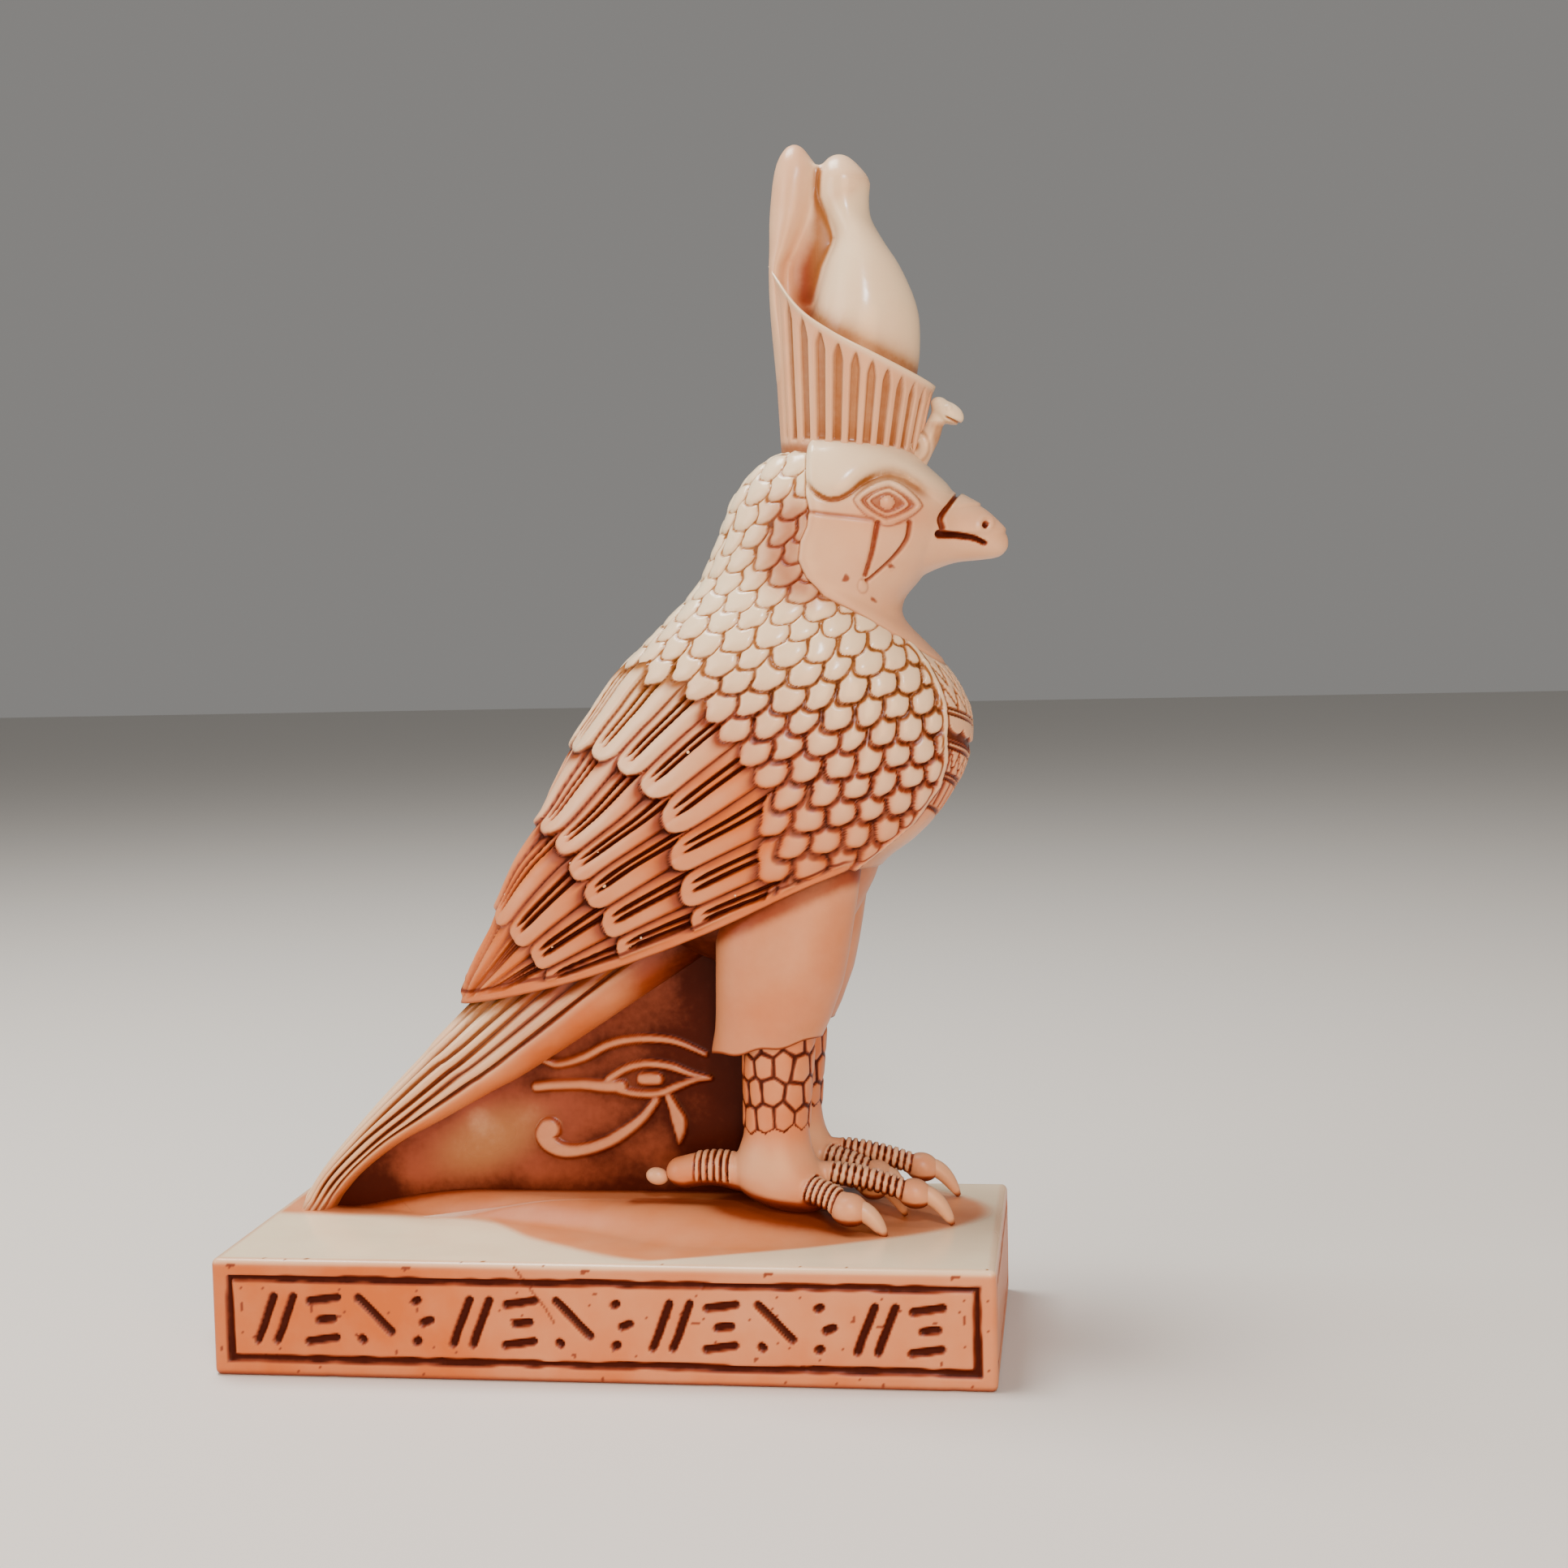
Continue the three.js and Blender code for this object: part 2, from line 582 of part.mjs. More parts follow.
/** One toe: a ringed length that ends in a round ball, and a claw that hooks down. */
function toe({ start, ball, claw, radius, ballRadius, rings }, side) {
  const placed = ([x, offset, level]) => [x, side * (offset - LEG_OFFSET), level];
  const between = (a, b, t) => a.map((value, k) => THREE.MathUtils.lerp(value, b[k], t));
  const [from, to, tip] = [placed(start), placed(ball), placed(claw)];
  const length = Math.hypot(...to.map((value, k) => value - from[k]));
  const ballStart = 1 - ballRadius / length;
  const points = [];
  const radii = [];
  for (let i = 0; i <= 2 * rings; i += 1) {
    points.push(between(from, to, (ballStart * i) / (2 * rings)));
    radii.push(radius + (i % 2 === 0 ? 0 : TOE_RING_RELIEF));
  }
  for (const share of BALL_SHARES) {
    points.push(between(from, to, 1 + (share * ballRadius) / length));
    radii.push(ballRadius * Math.sqrt(1 - share ** 2));
  }
  const bend = between(to, tip, CLAW.bendAlong);
  bend[2] = THREE.MathUtils.lerp(to[2], tip[2], CLAW.bendDrop);
  return [
    limb(points, radii, TOE_SIDES),
    limb([to, bend, tip], CLAW.radii.map((share) => share * ballRadius), CLAW.sides),
  ];
}

/** Sections of the upper shank, swelling in rows where its net of scales runs round. */
function ankleStations() {
  const { lowest, back, front, half, pitch, rows, relief, top } = ANKLE;
  const stations = [];
  for (let i = 0; i < rows; i += 1) {
    const level = lowest + i * pitch;
    const swollen = { back: back - relief, front: front + relief, half: half + relief };
    stations.push({ level: level + pitch / 2, ...swollen });
    stations.push({ level: level + pitch, back, front, half });
  }
  stations.push({ level: top, back, front, half });
  return stations;
}

/** One leg: smooth feathered thigh, scaly shank and four toes. */
function leg(side) {
  const middle = -side * LEG_OFFSET;
  return [
    levelLoft(THIGH_STATIONS, LEG_SIDES, THIGH_SQUARENESS, middle),
    levelLoft([...SHANK_STATIONS, ...ankleStations()], LEG_SIDES, 1, middle),
    ...[OUTER_TOE, MIDDLE_TOE, INNER_TOE, HIND_TOE].flatMap((one) => toe(one, side)),
  ];
}

/** Beak, a loft forward from the face. */
function beak() {
  return loft(BEAK_STATIONS.map(({ along, low, high, half }) => Array.from({ length: BEAK_SIDES }, (_, i) => {
    const turn = (2 * Math.PI * i) / BEAK_SIDES;
    const level = (low + high) / 2 + ((high - low) / 2) * Math.cos(turn);
    return falconPoint(along, half * signedPower(Math.sin(turn), BEAK_ROUNDNESS), level);
  })));
}

/** Mouth line and root line, as solids to cut from one side of the beak. */
function beakLines(side) {
  return BEAK_LINES.map((line) => {
    const onBeak = line.map(([along, level]) => {
      const sizeAt = (key) => smoothAt(BEAK_STATIONS, 'along', along, key);
      const [low, high, half] = ['low', 'high', 'half'].map(sizeAt);
      const rise = THREE.MathUtils.clamp((2 * level - low - high) / (high - low), -1, 1);
      return [along, -side * half * (1 - rise ** 2) ** (BEAK_ROUNDNESS / 2), level];
    });
    return limb(onBeak, onBeak.map(() => BEAK_LINE.radius), BEAK_LINE.sides);
  });
}

/** Brow ridge, eye and the drop under it, on one side of the head. */
function faceSide(side) {
  const [backX, backLevel] = BROW.start;
  const [frontX, frontLevel] = BROW.end;
  const brow = BROW_STATIONS.map(({ share }) => [
    THREE.MathUtils.lerp(backX, frontX, share),
    -side * (BROW.inset - BROW.reach * share ** 2),
    THREE.MathUtils.lerp(backLevel, frontLevel, share) + BROW.arch * Math.sin(Math.PI * share),
  ]);
  const drop = DROP_STATIONS.map(({ point: [x, out, level] }) => [x, -side * out, level]);
  const eyeAt = (out) => [EYE.along, -side * out, EYE.level];
  return [
    limb(brow, BROW_STATIONS.map(({ radius }) => radius), TOE_SIDES),
    ellipsoid(eyeAt(EYE.inset), [EYE.halfLong, EYE.lift, EYE.halfHigh]),
    ellipsoid(eyeAt(EYE.inset + PUPIL_LIFT), [EYE.pupil, EYE.lift, EYE.pupil], 0, SMALL_STEPS),
    limb(drop, DROP_STATIONS.map(({ radius }) => radius), TOE_SIDES),
  ];
}

/** One ring of the bowl, at a share of the way from its base to its slanted rim. */
function bowlRing(share) {
  const size = {};
  for (const key of ['back', 'front', 'half']) size[key] = smoothAt(BOWL_STATIONS, 'share', share, key);
  const fluted = share > 0 && share < 1;
  const count = 2 * FLUTES;
  return Array.from({ length: count }, (_, i) => {
    const shrink = fluted && i % 2 === 1 ? FLUTE_DEPTH : 0;
    const turn = (2 * Math.PI * i) / count;
    const x = (size.back + size.front) / 2 - ((size.front - size.back) / 2 - shrink) * Math.cos(turn);
    const y = -(size.half - shrink) * Math.sin(turn);
    const along = (x - size.back) / (size.front - size.back);
    const base = THREE.MathUtils.lerp(BOWL_BASE.back, BOWL_BASE.front, along);
    return falconPoint(x, y, THREE.MathUtils.lerp(base, smoothAt(BOWL_RIM, 'along', x, 'level'), share));
  });
}

/** Red crown: fluted bowl with a slanted rim, and the tall blade at its back. */
function redCrown() {
  return [
    loft(BOWL_STATIONS.map(({ share }) => bowlRing(share))),
    levelLoft(BLADE_STATIONS, BLADE_SIDES),
  ];
}

/** White crown, standing in the red one. */
function whiteCrown() {
  return levelLoft(BULB_STATIONS, CROWN_SIDES);
}

/** Cobra rearing at the foot of the crown. */
function cobra() {
  const { middle, halfLong, halfWide, halfHigh, tilt } = COBRA_HEAD;
  return [
    ellipsoid(middle, [halfLong, halfWide, halfHigh], tilt, SMALL_STEPS),
    limb(COBRA_NECK.points, COBRA_NECK.radii, TOE_SIDES),
    ellipsoid(COBRA_COIL.middle, COBRA_COIL.size, 0, SMALL_STEPS),
  ];
}

/** Plinth block with rounded edges. */
function plinthBlock() {
  const radius = PLINTH_EDGE_RADIUS;
  const shape = new THREE.Shape();
  const [halfX, halfY] = [PLINTH_LENGTH / 2 - radius, PLINTH_DEPTH / 2 - radius];
  shape.moveTo(-halfX, -halfY);
  shape.lineTo(halfX, -halfY);
  shape.lineTo(halfX, halfY);
  shape.lineTo(-halfX, halfY);
  shape.closePath();
  const geometry = new THREE.ExtrudeGeometry(shape, {
    depth: PLINTH_HEIGHT - 2 * radius,
    bevelEnabled: true,
    bevelThickness: radius,
    bevelSize: radius,
    bevelSegments: PLINTH_EDGE_STEPS,
  });
  geometry.translate(0, 0, radius);
  return solidOf(geometry);
}

/** A block that cuts into one side of the plinth, at a place along it and a height. */
function sideCut(face, along, height, length, rise, turn = 0) {
  const geometry = new THREE.BoxGeometry(length, 2 * CARVING_DEPTH, rise);
  geometry.rotateY(turn);
  geometry.translate(along, 0, height);
  geometry.translate(0, -face.distance, 0);
  geometry.rotateZ(face.turn);
  return solidOf(geometry);
}

/** Sunk frame lines on the four sides of the plinth, and the row of strokes on the falcon's right. */
function plinthCarving() {
  const cuts = [];
  const [longHalf, deepHalf] = [PLINTH_LENGTH / 2, PLINTH_DEPTH / 2];
  const faces = [
    { turn: 0, distance: deepHalf, half: longHalf, written: true },
    { turn: Math.PI, distance: deepHalf, half: longHalf, written: false },
    { turn: Math.PI / 2, distance: longHalf, half: deepHalf, written: false },
    { turn: -Math.PI / 2, distance: longHalf, half: deepHalf, written: false },
  ];
  const middle = PLINTH_HEIGHT / 2;
  const frameRise = PLINTH_HEIGHT - 2 * FRAME_INSET;
  for (const face of faces) {
    const frameHalf = face.half - FRAME_INSET;
    for (const end of [-1, 1]) {
      const line = FRAME_LINE_WIDTH;
      cuts.push(sideCut(face, 0, middle + (end * (frameRise - line)) / 2, 2 * frameHalf, line));
      cuts.push(sideCut(face, end * (frameHalf - line / 2), middle, line, frameRise));
    }
    if (face.written) cuts.push(...strokeRow(face, frameHalf, frameRise));
  }
  return cuts;
}

/** A row of plain shallow strokes in leaning groups. */
function strokeRow(face, frameHalf, frameRise) {
  const tall = frameRise - 2 * (FRAME_LINE_WIDTH + STROKE_CLEARANCE);
  const reach = frameHalf - FRAME_LINE_WIDTH - STROKE_CLEARANCE - STROKE_PITCH / 2;
  const count = Math.floor((2 * reach) / STROKE_PITCH) + 1;
  const strokes = [];
  for (let i = 0; i < count; i += 1) {
    const along = (i - (count - 1) / 2) * STROKE_PITCH;
    for (const { place, length, lean } of STROKE_GROUPS[i % STROKE_GROUPS.length]) {
      const [x, height] = [along + place[0] * STROKE_PITCH, PLINTH_HEIGHT / 2 + place[1] * tall];
      strokes.push(sideCut(face, x, height, length * tall, STROKE_WIDTH, -lean));
    }
  }
  return strokes;
}

const plinth = wasm.Manifold.difference([plinthBlock(), ...plinthCarving()]);
const figure = wasm.Manifold.union([
  plinth,
  swell(),
  body(),
  ...FEATHER_TIERS.flatMap((tier) => [featherTier(tier, 1), featherTier(tier, -1)]),
  levelLoft(BELLY_STATIONS, BELLY_SIDES),
  tail(),
  ...web(),
  ...leg(1),
  ...leg(-1),
  wasm.Manifold.difference([beak(), ...beakLines(1), ...beakLines(-1)]),
  ...faceSide(1),
  ...faceSide(-1),
  ...redCrown(),
  whiteCrown(),
  ...cobra(),
]);

const castResin = new THREE.MeshStandardMaterial({ color: '#dcb894', roughness: 0.42, metalness: 0 });

const falcon = new THREE.Mesh(geometryOf(figure), castResin);
falcon.name = 'falcon_figure';

const object = new THREE.Group();
object.add(falcon);

export default object;
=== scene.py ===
"""A falcon figure with the double crown, cast in ivory resin and washed with brown glaze.

Shapes are worked in drawn millimetres: x runs forward from the plinth's middle, y to the falcon's
left from its own middle plane, and level up from the plinth's top.
"""

import logging
import math
from dataclasses import dataclass
from enum import Enum
from functools import partial
from typing import Any, Callable, Sequence

import bpy
import numpy as np
from mathutils import Matrix, Vector

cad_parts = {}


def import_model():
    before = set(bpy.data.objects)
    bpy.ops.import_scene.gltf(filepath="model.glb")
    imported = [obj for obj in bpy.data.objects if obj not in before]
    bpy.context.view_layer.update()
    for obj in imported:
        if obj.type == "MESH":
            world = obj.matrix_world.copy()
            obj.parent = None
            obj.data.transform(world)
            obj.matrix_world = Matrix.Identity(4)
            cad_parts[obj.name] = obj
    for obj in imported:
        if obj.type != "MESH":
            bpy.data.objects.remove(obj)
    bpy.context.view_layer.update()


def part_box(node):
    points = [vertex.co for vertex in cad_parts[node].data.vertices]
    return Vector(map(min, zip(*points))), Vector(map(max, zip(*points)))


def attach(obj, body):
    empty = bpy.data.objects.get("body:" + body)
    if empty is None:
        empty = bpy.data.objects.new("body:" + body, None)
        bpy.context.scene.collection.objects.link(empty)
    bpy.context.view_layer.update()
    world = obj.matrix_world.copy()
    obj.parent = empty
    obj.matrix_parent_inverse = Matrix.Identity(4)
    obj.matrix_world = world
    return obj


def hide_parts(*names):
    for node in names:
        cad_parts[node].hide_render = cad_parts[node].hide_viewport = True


Array = np.ndarray
Path = Sequence[tuple[float, float]]
Form = tuple[Array, list[list[int]]]

LOG = logging.getLogger("falcon")
NODE = "falcon_figure"
BODY = "root"
MM = 0.001
DRAWN_HEIGHT = 177.4
FIGURE_MIDDLE = 0.09
DICE = 64


class Side(Enum):
    """The falcon's two sides; the value is the sign of y there."""

    RIGHT = -1
    LEFT = 1


@dataclass(frozen=True)
class Sizes:
    """The driving sizes of the figure in millimetres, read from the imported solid."""

    length: float
    depth: float
    falcon: float
    plinth: float = 19.0
    set_back: float = 8.0

    @staticmethod
    def from_frame() -> "Sizes":
        """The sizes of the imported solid: the plinth's length and depth and the falcon's height."""
        low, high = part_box(NODE)
        return Sizes(-2 * low.x / MM, -2 * low.y / MM, high.z / MM - Sizes.plinth)

    def place(self, points: Array) -> Array:
        """Rows of drawn x, y and level as x, y and z in metres in the row frame."""
        unit = self.falcon / DRAWN_HEIGHT
        return (points * unit + np.array([0, self.set_back, self.plinth])) * MM


# Number helpers


def smooth(share: Array) -> Array:
    """A share from 0 to 1, eased at both ends."""
    return share * share * (3 - 2 * share)


def ramp(value: Array, low: float, high: float) -> Array:
    """A soft step from 0 at low to 1 at high."""
    return smooth(np.clip((value - low) / (high - low), 0, 1))


def window(value: Array, rise: tuple[float, float], fall: tuple[float, float]) -> Array:
    """A soft step up between two places, and one down between two later ones."""
    return ramp(value, *rise) * (1 - ramp(value, *fall))


def hump(offset: Array, width: float, power: int = 2) -> Array:
    """A soft hump: 1 where the offset is 0, and about a third at its width."""
    return np.exp(-((offset / width) ** power))


def fading(distance: Array, length: float) -> Array:
    """1 up to a distance of 0, then about a third of what is left for each length beyond it."""
    return np.exp(-np.maximum(distance, 0) / length)


def round_top(away: Array, power: float = 2) -> Array:
    """The height of a dome at shares of its radius from its middle."""
    return np.sqrt(np.clip(1 - away**power, 0, 1))


def round_edge(depth: Array) -> Array:
    """The height of a quarter round, from 0 at its edge to 1 at a depth of 1."""
    return round_top(1 - np.clip(depth, 0, 1))


def zigzag(value: Array) -> Array:
    """1 at whole numbers and 0 half way between them."""
    return np.abs(value % 1 - 0.5) * 2


def blend(low: Array, high: Array, share: Array) -> Array:
    """Numbers between two others."""
    return low * (1 - share) + high * share


def second_at(path: Path, first: Array) -> Array:
    """A path's second coordinate at places along its first."""
    return np.interp(first, *zip(*path))


def first_at(path: Path, second: Array, beyond: float | None = None) -> Array:
    """A path's first coordinate at places along its second."""
    firsts, seconds = zip(*sorted(path, key=lambda point: point[1]))
    return np.interp(second, seconds, firsts, beyond, beyond)


def full_turn(count: int) -> Array:
    """Even turns round a full circle, in radians."""
    return np.linspace(0, 2 * np.pi, count, endpoint=False)


def groove(distance: Array, half_width: float) -> Array:
    """A groove's share of its depth: 1 at its middle line, 0 from a little past its half width."""
    return 1 - ramp(np.abs(distance), 0.45 * half_width, 1.35 * half_width)


def spline(places: Sequence[float], values: Sequence[float], where: Array) -> Array:
    """Values of a station table on a smooth curve through the stations.

    Args:
        places: The stations' places, rising.
        values: The value at each station.
        where: The places that are asked for.

    Returns:
        The values there.
    """
    p, v, w = np.asarray(places, float), np.asarray(values, float), np.asarray(where, float)
    slopes = np.empty_like(p)
    slopes[1:-1] = (v[2:] - v[:-2]) / (p[2:] - p[:-2])
    slopes[0], slopes[-1] = (v[1] - v[0]) / (p[1] - p[0]), (v[-1] - v[-2]) / (p[-1] - p[-2])
    i = np.clip(np.searchsorted(p, w) - 1, 0, len(p) - 2)
    span = p[i + 1] - p[i]
    t = np.clip((w - p[i]) / span, 0, 1)
    start = (2 * t**3 - 3 * t**2 + 1) * v[i] + (t**3 - 2 * t**2 + t) * span * slopes[i]
    return start + (3 * t**2 - 2 * t**3) * v[i + 1] + (t**3 - t**2) * span * slopes[i + 1]


def signed_power(value: Array, power: float) -> Array:
    """Numbers raised to a power with their sign kept."""
    return np.sign(value) * np.abs(value) ** power


def sample(table: Array, row: Array, column: Array) -> Array:
    """A table read between its entries.

    Args:
        table: Rows of numbers.
        row: Row places, from 0 to the last row.
        column: Column places, from 0 to the last column.

    Returns:
        The values there.
    """
    i = np.clip(np.floor(row).astype(int), 0, table.shape[0] - 2)
    j = np.clip(np.floor(column).astype(int), 0, table.shape[1] - 2)
    s, t = row - i, column - j
    return blend(blend(table[i, j], table[i, j + 1], t), blend(table[i + 1, j], table[i + 1, j + 1], t), s)


def noise(points: Array, size: float, seed: int) -> Array:
    """Soft seeded noise in space.

    Args:
        points: Points whose last axis is x, y and z.
        size: The size of its lumps, in the points' units.
        seed: The seed of its random lattice.

    Returns:
        Numbers from -1 to 1.
    """
    count = 32
    lattice = np.random.default_rng(seed).uniform(-1, 1, (count, count, count))
    scaled = points / size
    base = np.floor(scaled).astype(int)
    t = smooth(scaled - base)
    total = np.zeros(points.shape[:-1])
    for corner in range(8):
        offset = np.array([corner & 1, corner >> 1 & 1, corner >> 2 & 1])
        weight = np.prod(np.where(offset == 1, t, 1 - t), axis=-1)
        cell = (base + offset) % count
        total += weight * lattice[cell[..., 0], cell[..., 1], cell[..., 2]]
    return total


def path_distance(u: Array, v: Array, path: Path) -> tuple[Array, Array]:
    """How far points lie from a path of straight runs.

    Args:
        u: First coordinates.
        v: Second coordinates.
        path: The path's corners.

    Returns:
        The distances, and the share of the path's length at each nearest place.
    """
    lengths = [math.dist(a, b) for a, b in zip(path, path[1:])]
    total, walked = sum(lengths), 0.0
    nearest, share = np.full(u.shape, np.inf), np.zeros(u.shape)
    for (au, av), (bu, bv), length in zip(path, path[1:], lengths):
        t = np.clip(((u - au) * (bu - au) + (v - av) * (bv - av)) / length**2, 0, 1)
        distance = np.hypot(u - au - t * (bu - au), v - av - t * (bv - av))
        closer = distance < nearest
        nearest = np.where(closer, distance, nearest)
        share = np.where(closer, (walked + t * length) / total, share)
        walked += length
    return nearest, share


def curve_through(path: Path, steps: int = 8) -> list[tuple[float, float]]:
    """More points on a smooth curve through a path's corners, some steps for each run."""
    fine = np.linspace(0, len(path) - 1, steps * (len(path) - 1) + 1)
    return list(zip(*(spline(range(len(path)), column, fine).tolist() for column in zip(*path))))


def curve_distance(u: Array, v: Array, path: Path) -> tuple[Array, Array]:
    """What path_distance gives, for the smooth curve through the path's corners."""
    return path_distance(u, v, curve_through(path))


@dataclass(frozen=True)
class Stroke:
    """A brush stroke on a flat face: its corners and its width at even steps along them."""

    path: Path
    widths: tuple[float, ...]

    def inside(self, u: Array, v: Array) -> Array:
        """How far inside the stroke's edge points lie, negative outside it."""
        distance, share = curve_distance(u, v, self.path)
        return np.interp(share, np.linspace(0, 1, len(self.widths)), self.widths) / 2 - distance


# Mesh helpers


@dataclass
class Skin:
    """A mesh in the making: drawn points, faces, and how the finish lies at each point."""

    points: Array
    faces: list[list[int]]
    wash: Array
    tone: Array
    normals: Array | None = None


def trimmed(skin: Skin, hidden: Array) -> Skin:
    """A skin of four-sided faces without those that another piece covers.

    Args:
        skin: The whole skin.
        hidden: Tells for each point whether it is covered.

    Returns:
        The skin that is left, without the points that no face uses.
    """
    faces = np.asarray(skin.faces)
    used, place = np.unique(faces[~hidden[faces].all(1)], return_inverse=True)
    normals = None if skin.normals is None else skin.normals[used]
    faces = place.reshape(-1, 4).tolist()
    return Skin(skin.points[used], faces, skin.wash[used], skin.tone[used], normals)


def unit(vectors: Array) -> Array:
    """Vectors brought to a length of 1."""
    return vectors / np.maximum(np.linalg.norm(vectors, axis=-1, keepdims=True), 1e-12)


def sums(places: Array, vectors: Array, count: int) -> Array:
    """The sum of the vectors that go to each place."""
    return np.stack([np.bincount(places, vectors[:, k], count) for k in range(3)], -1)


def run_lengths(lines: Array) -> Array:
    """How far along its own line of points each point is."""
    steps = np.linalg.norm(np.diff(lines, axis=1), axis=-1)
    return np.concatenate([np.zeros((len(lines), 1)), np.cumsum(steps, 1)], 1)


def there_and_back(half: Array) -> Array:
    """The columns of one half of each ring, followed by those of the other half that mirrors it."""
    return np.concatenate([half, half[:, -2:0:-1]], 1)


def join(forms: Sequence[Form]) -> Form:
    """Several forms as one.

    Args:
        forms: The points and faces of each.

    Returns:
        All points and all faces.
    """
    faces, start = [], 0
    for points, own_faces in forms:
        faces += [[start + i for i in face] for face in own_faces]
        start += len(points)
    return np.concatenate([points for points, _ in forms]), faces


def grid_faces(rows: int, columns: int, closed: bool) -> list[list[int]]:
    """Four-sided faces over a grid of points.

    Args:
        rows: Rows of points.
        columns: Points in a row.
        closed: Whether each row joins up with itself.

    Returns:
        The faces.
    """
    j = np.arange(columns if closed else columns - 1)
    start = np.arange(rows - 1)[:, None] * columns
    a, b = start + j, start + (j + 1) % columns
    return np.stack([a, b, b + columns, a + columns], -1).reshape(-1, 4).tolist()


def grid_normals(grid: Array, closed: bool) -> Array:
    """Unit normals of a grid of points, whose rows may be closed to rings."""
    across = np.roll(grid, -1, 1) - np.roll(grid, 1, 1) if closed else np.gradient(grid, axis=1)
    return unit(np.cross(across, np.gradient(grid, axis=0)))


def mesh_normals(points: Array, faces: Array) -> Array:
    """Unit normals at the points of a mesh of four-sided faces.

    Args:
        points: The points.
        faces: Rows of four point numbers.

    Returns:
        A normal for each point.
    """
    a, b, c, d = (points[faces[:, k]] for k in range(4))
    flat = np.cross(c - a, d - b)
    return unit(sums(faces.ravel(), np.repeat(flat, 4, 0), len(points)))


def relax(points: Array, faces: Array, passes: int) -> Array:
    """Points moved towards the middle of their neighbours, which rounds the inner corners.

    Args:
        points: The points.
        faces: Rows of four point numbers.
        passes: How often.

    Returns:
        The moved points.
    """
    ends = np.concatenate([np.stack([faces[:, k], faces[:, (k + 1) % 4]], -1) for k in range(4)])
    count = np.maximum(np.bincount(ends[:, 0], minlength=len(points)), 1)[:, None]
    for _ in range(passes):
        points = 0.5 * points + 0.5 * sums(ends[:, 0], points[ends[:, 1]], len(points)) / count
    return points


def fuse(forms: Sequence[Form], step: float, passes: int) -> tuple[Array, Array]:
    """Closed forms that overlap, as one skin with soft inner corners.

    Args:
        forms: The points and faces of each.
        step: The size of the new faces in millimetres.
        passes: How much the skin is relaxed.

    Returns:
        The skin's points and its four-sided faces.
    """
    points, faces = join(forms)
    mesh = bpy.data.meshes.new("fusing")
    mesh.from_pydata(points.tolist(), [], faces)
    holder = bpy.data.objects.new("fusing", mesh)
    bpy.context.scene.collection.objects.link(holder)
    modifier = holder.modifiers.new("fuse", "REMESH")
    modifier.mode = "VOXEL"
    modifier.voxel_size = step
    fused = holder.evaluated_get(bpy.context.evaluated_depsgraph_get()).to_mesh()
    made, index = np.empty(len(fused.vertices) * 3), np.empty(len(fused.loops), np.int64)
    fused.vertices.foreach_get("co", made)
    fused.loops.foreach_get("vertex_index", index)
    bpy.data.objects.remove(holder)
    bpy.data.meshes.remove(mesh)
    quads = index.reshape(-1, 4)
    return relax(made.reshape(-1, 3), quads, passes), quads


def ring_stack(rings: Array) -> Form:
    """A closed form over rings of points.

    Args:
        rings: Points by ring and place in the ring.

    Returns:
        The form's points and faces, with a flat face at each end, the last one's last.
    """
    rows, count = rings.shape[:2]
    ends = [list(range(count))[::-1], [(rows - 1) * count + i for i in range(count)]]
    return rings.reshape(-1, 3), grid_faces(rows, count, True) + ends


def limb(points: Sequence[Sequence[float]], radii: Sequence[float], sides: int = 24) -> Array:
    """Round rings along a path.

    Args:
        points: The path's points.
        radii: The radius at each point.
        sides: Points in each ring.

    Returns:
        The rings' points.
    """
    path = np.asarray(points, float)
    ahead = unit(np.gradient(path, axis=0))
    side = unit(np.cross([0.0, 1.0, 0.0], ahead))
    over = np.cross(ahead, side)
    turn = full_turn(sides)[:, None]
    spoke = side[:, None] * np.cos(turn) + over[:, None] * np.sin(turn)
    return path[:, None] + np.asarray(radii, float)[:, None, None] * spoke


def ball(centre: Sequence[float], radii: Sequence[float], tilt: float = 0.0, steps: int = 20) -> Array:
    """Rings of an ellipsoid.

    Args:
        centre: Its middle.
        radii: Its half sizes along x, y and level.
        tilt: How far its nose is turned down, in radians.
        steps: Rings, and half the points in each.

    Returns:
        The rings' points.
    """
    rise = np.linspace(-np.pi / 2 + 0.05, np.pi / 2 - 0.05, steps)[:, None]
    turn = full_turn(2 * steps)
    x = radii[0] * np.cos(rise) * np.cos(turn)
    y = radii[1] * np.cos(rise) * np.sin(turn)
    z = radii[2] * np.sin(rise) * np.ones_like(turn)
    turned = [x * math.cos(tilt) + z * math.sin(tilt), y, z * math.cos(tilt) - x * math.sin(tilt)]
    return np.stack(turned, -1) + np.asarray(centre, float)


@dataclass(frozen=True)
class Stations:
    """Sizes of a form at rising places, on smooth curves between them. Each row starts with its place."""

    rows: tuple[tuple[float, ...], ...]
    names: tuple[str, ...] = ("back", "front", "half")

    @property
    def places(self) -> list[float]:
        """The stations' places."""
        return [row[0] for row in self.rows]

    def at(self, name: str, where: Array) -> Array:
        """One size at the places asked for."""
        return self.all_at(where)[self.names.index(name)]

    def all_at(self, where: Array) -> list[Array]:
        """Every size at the places asked for, in the order of their names."""
        places, *columns = zip(*self.rows)
        return [spline(places, column, where) for column in columns]


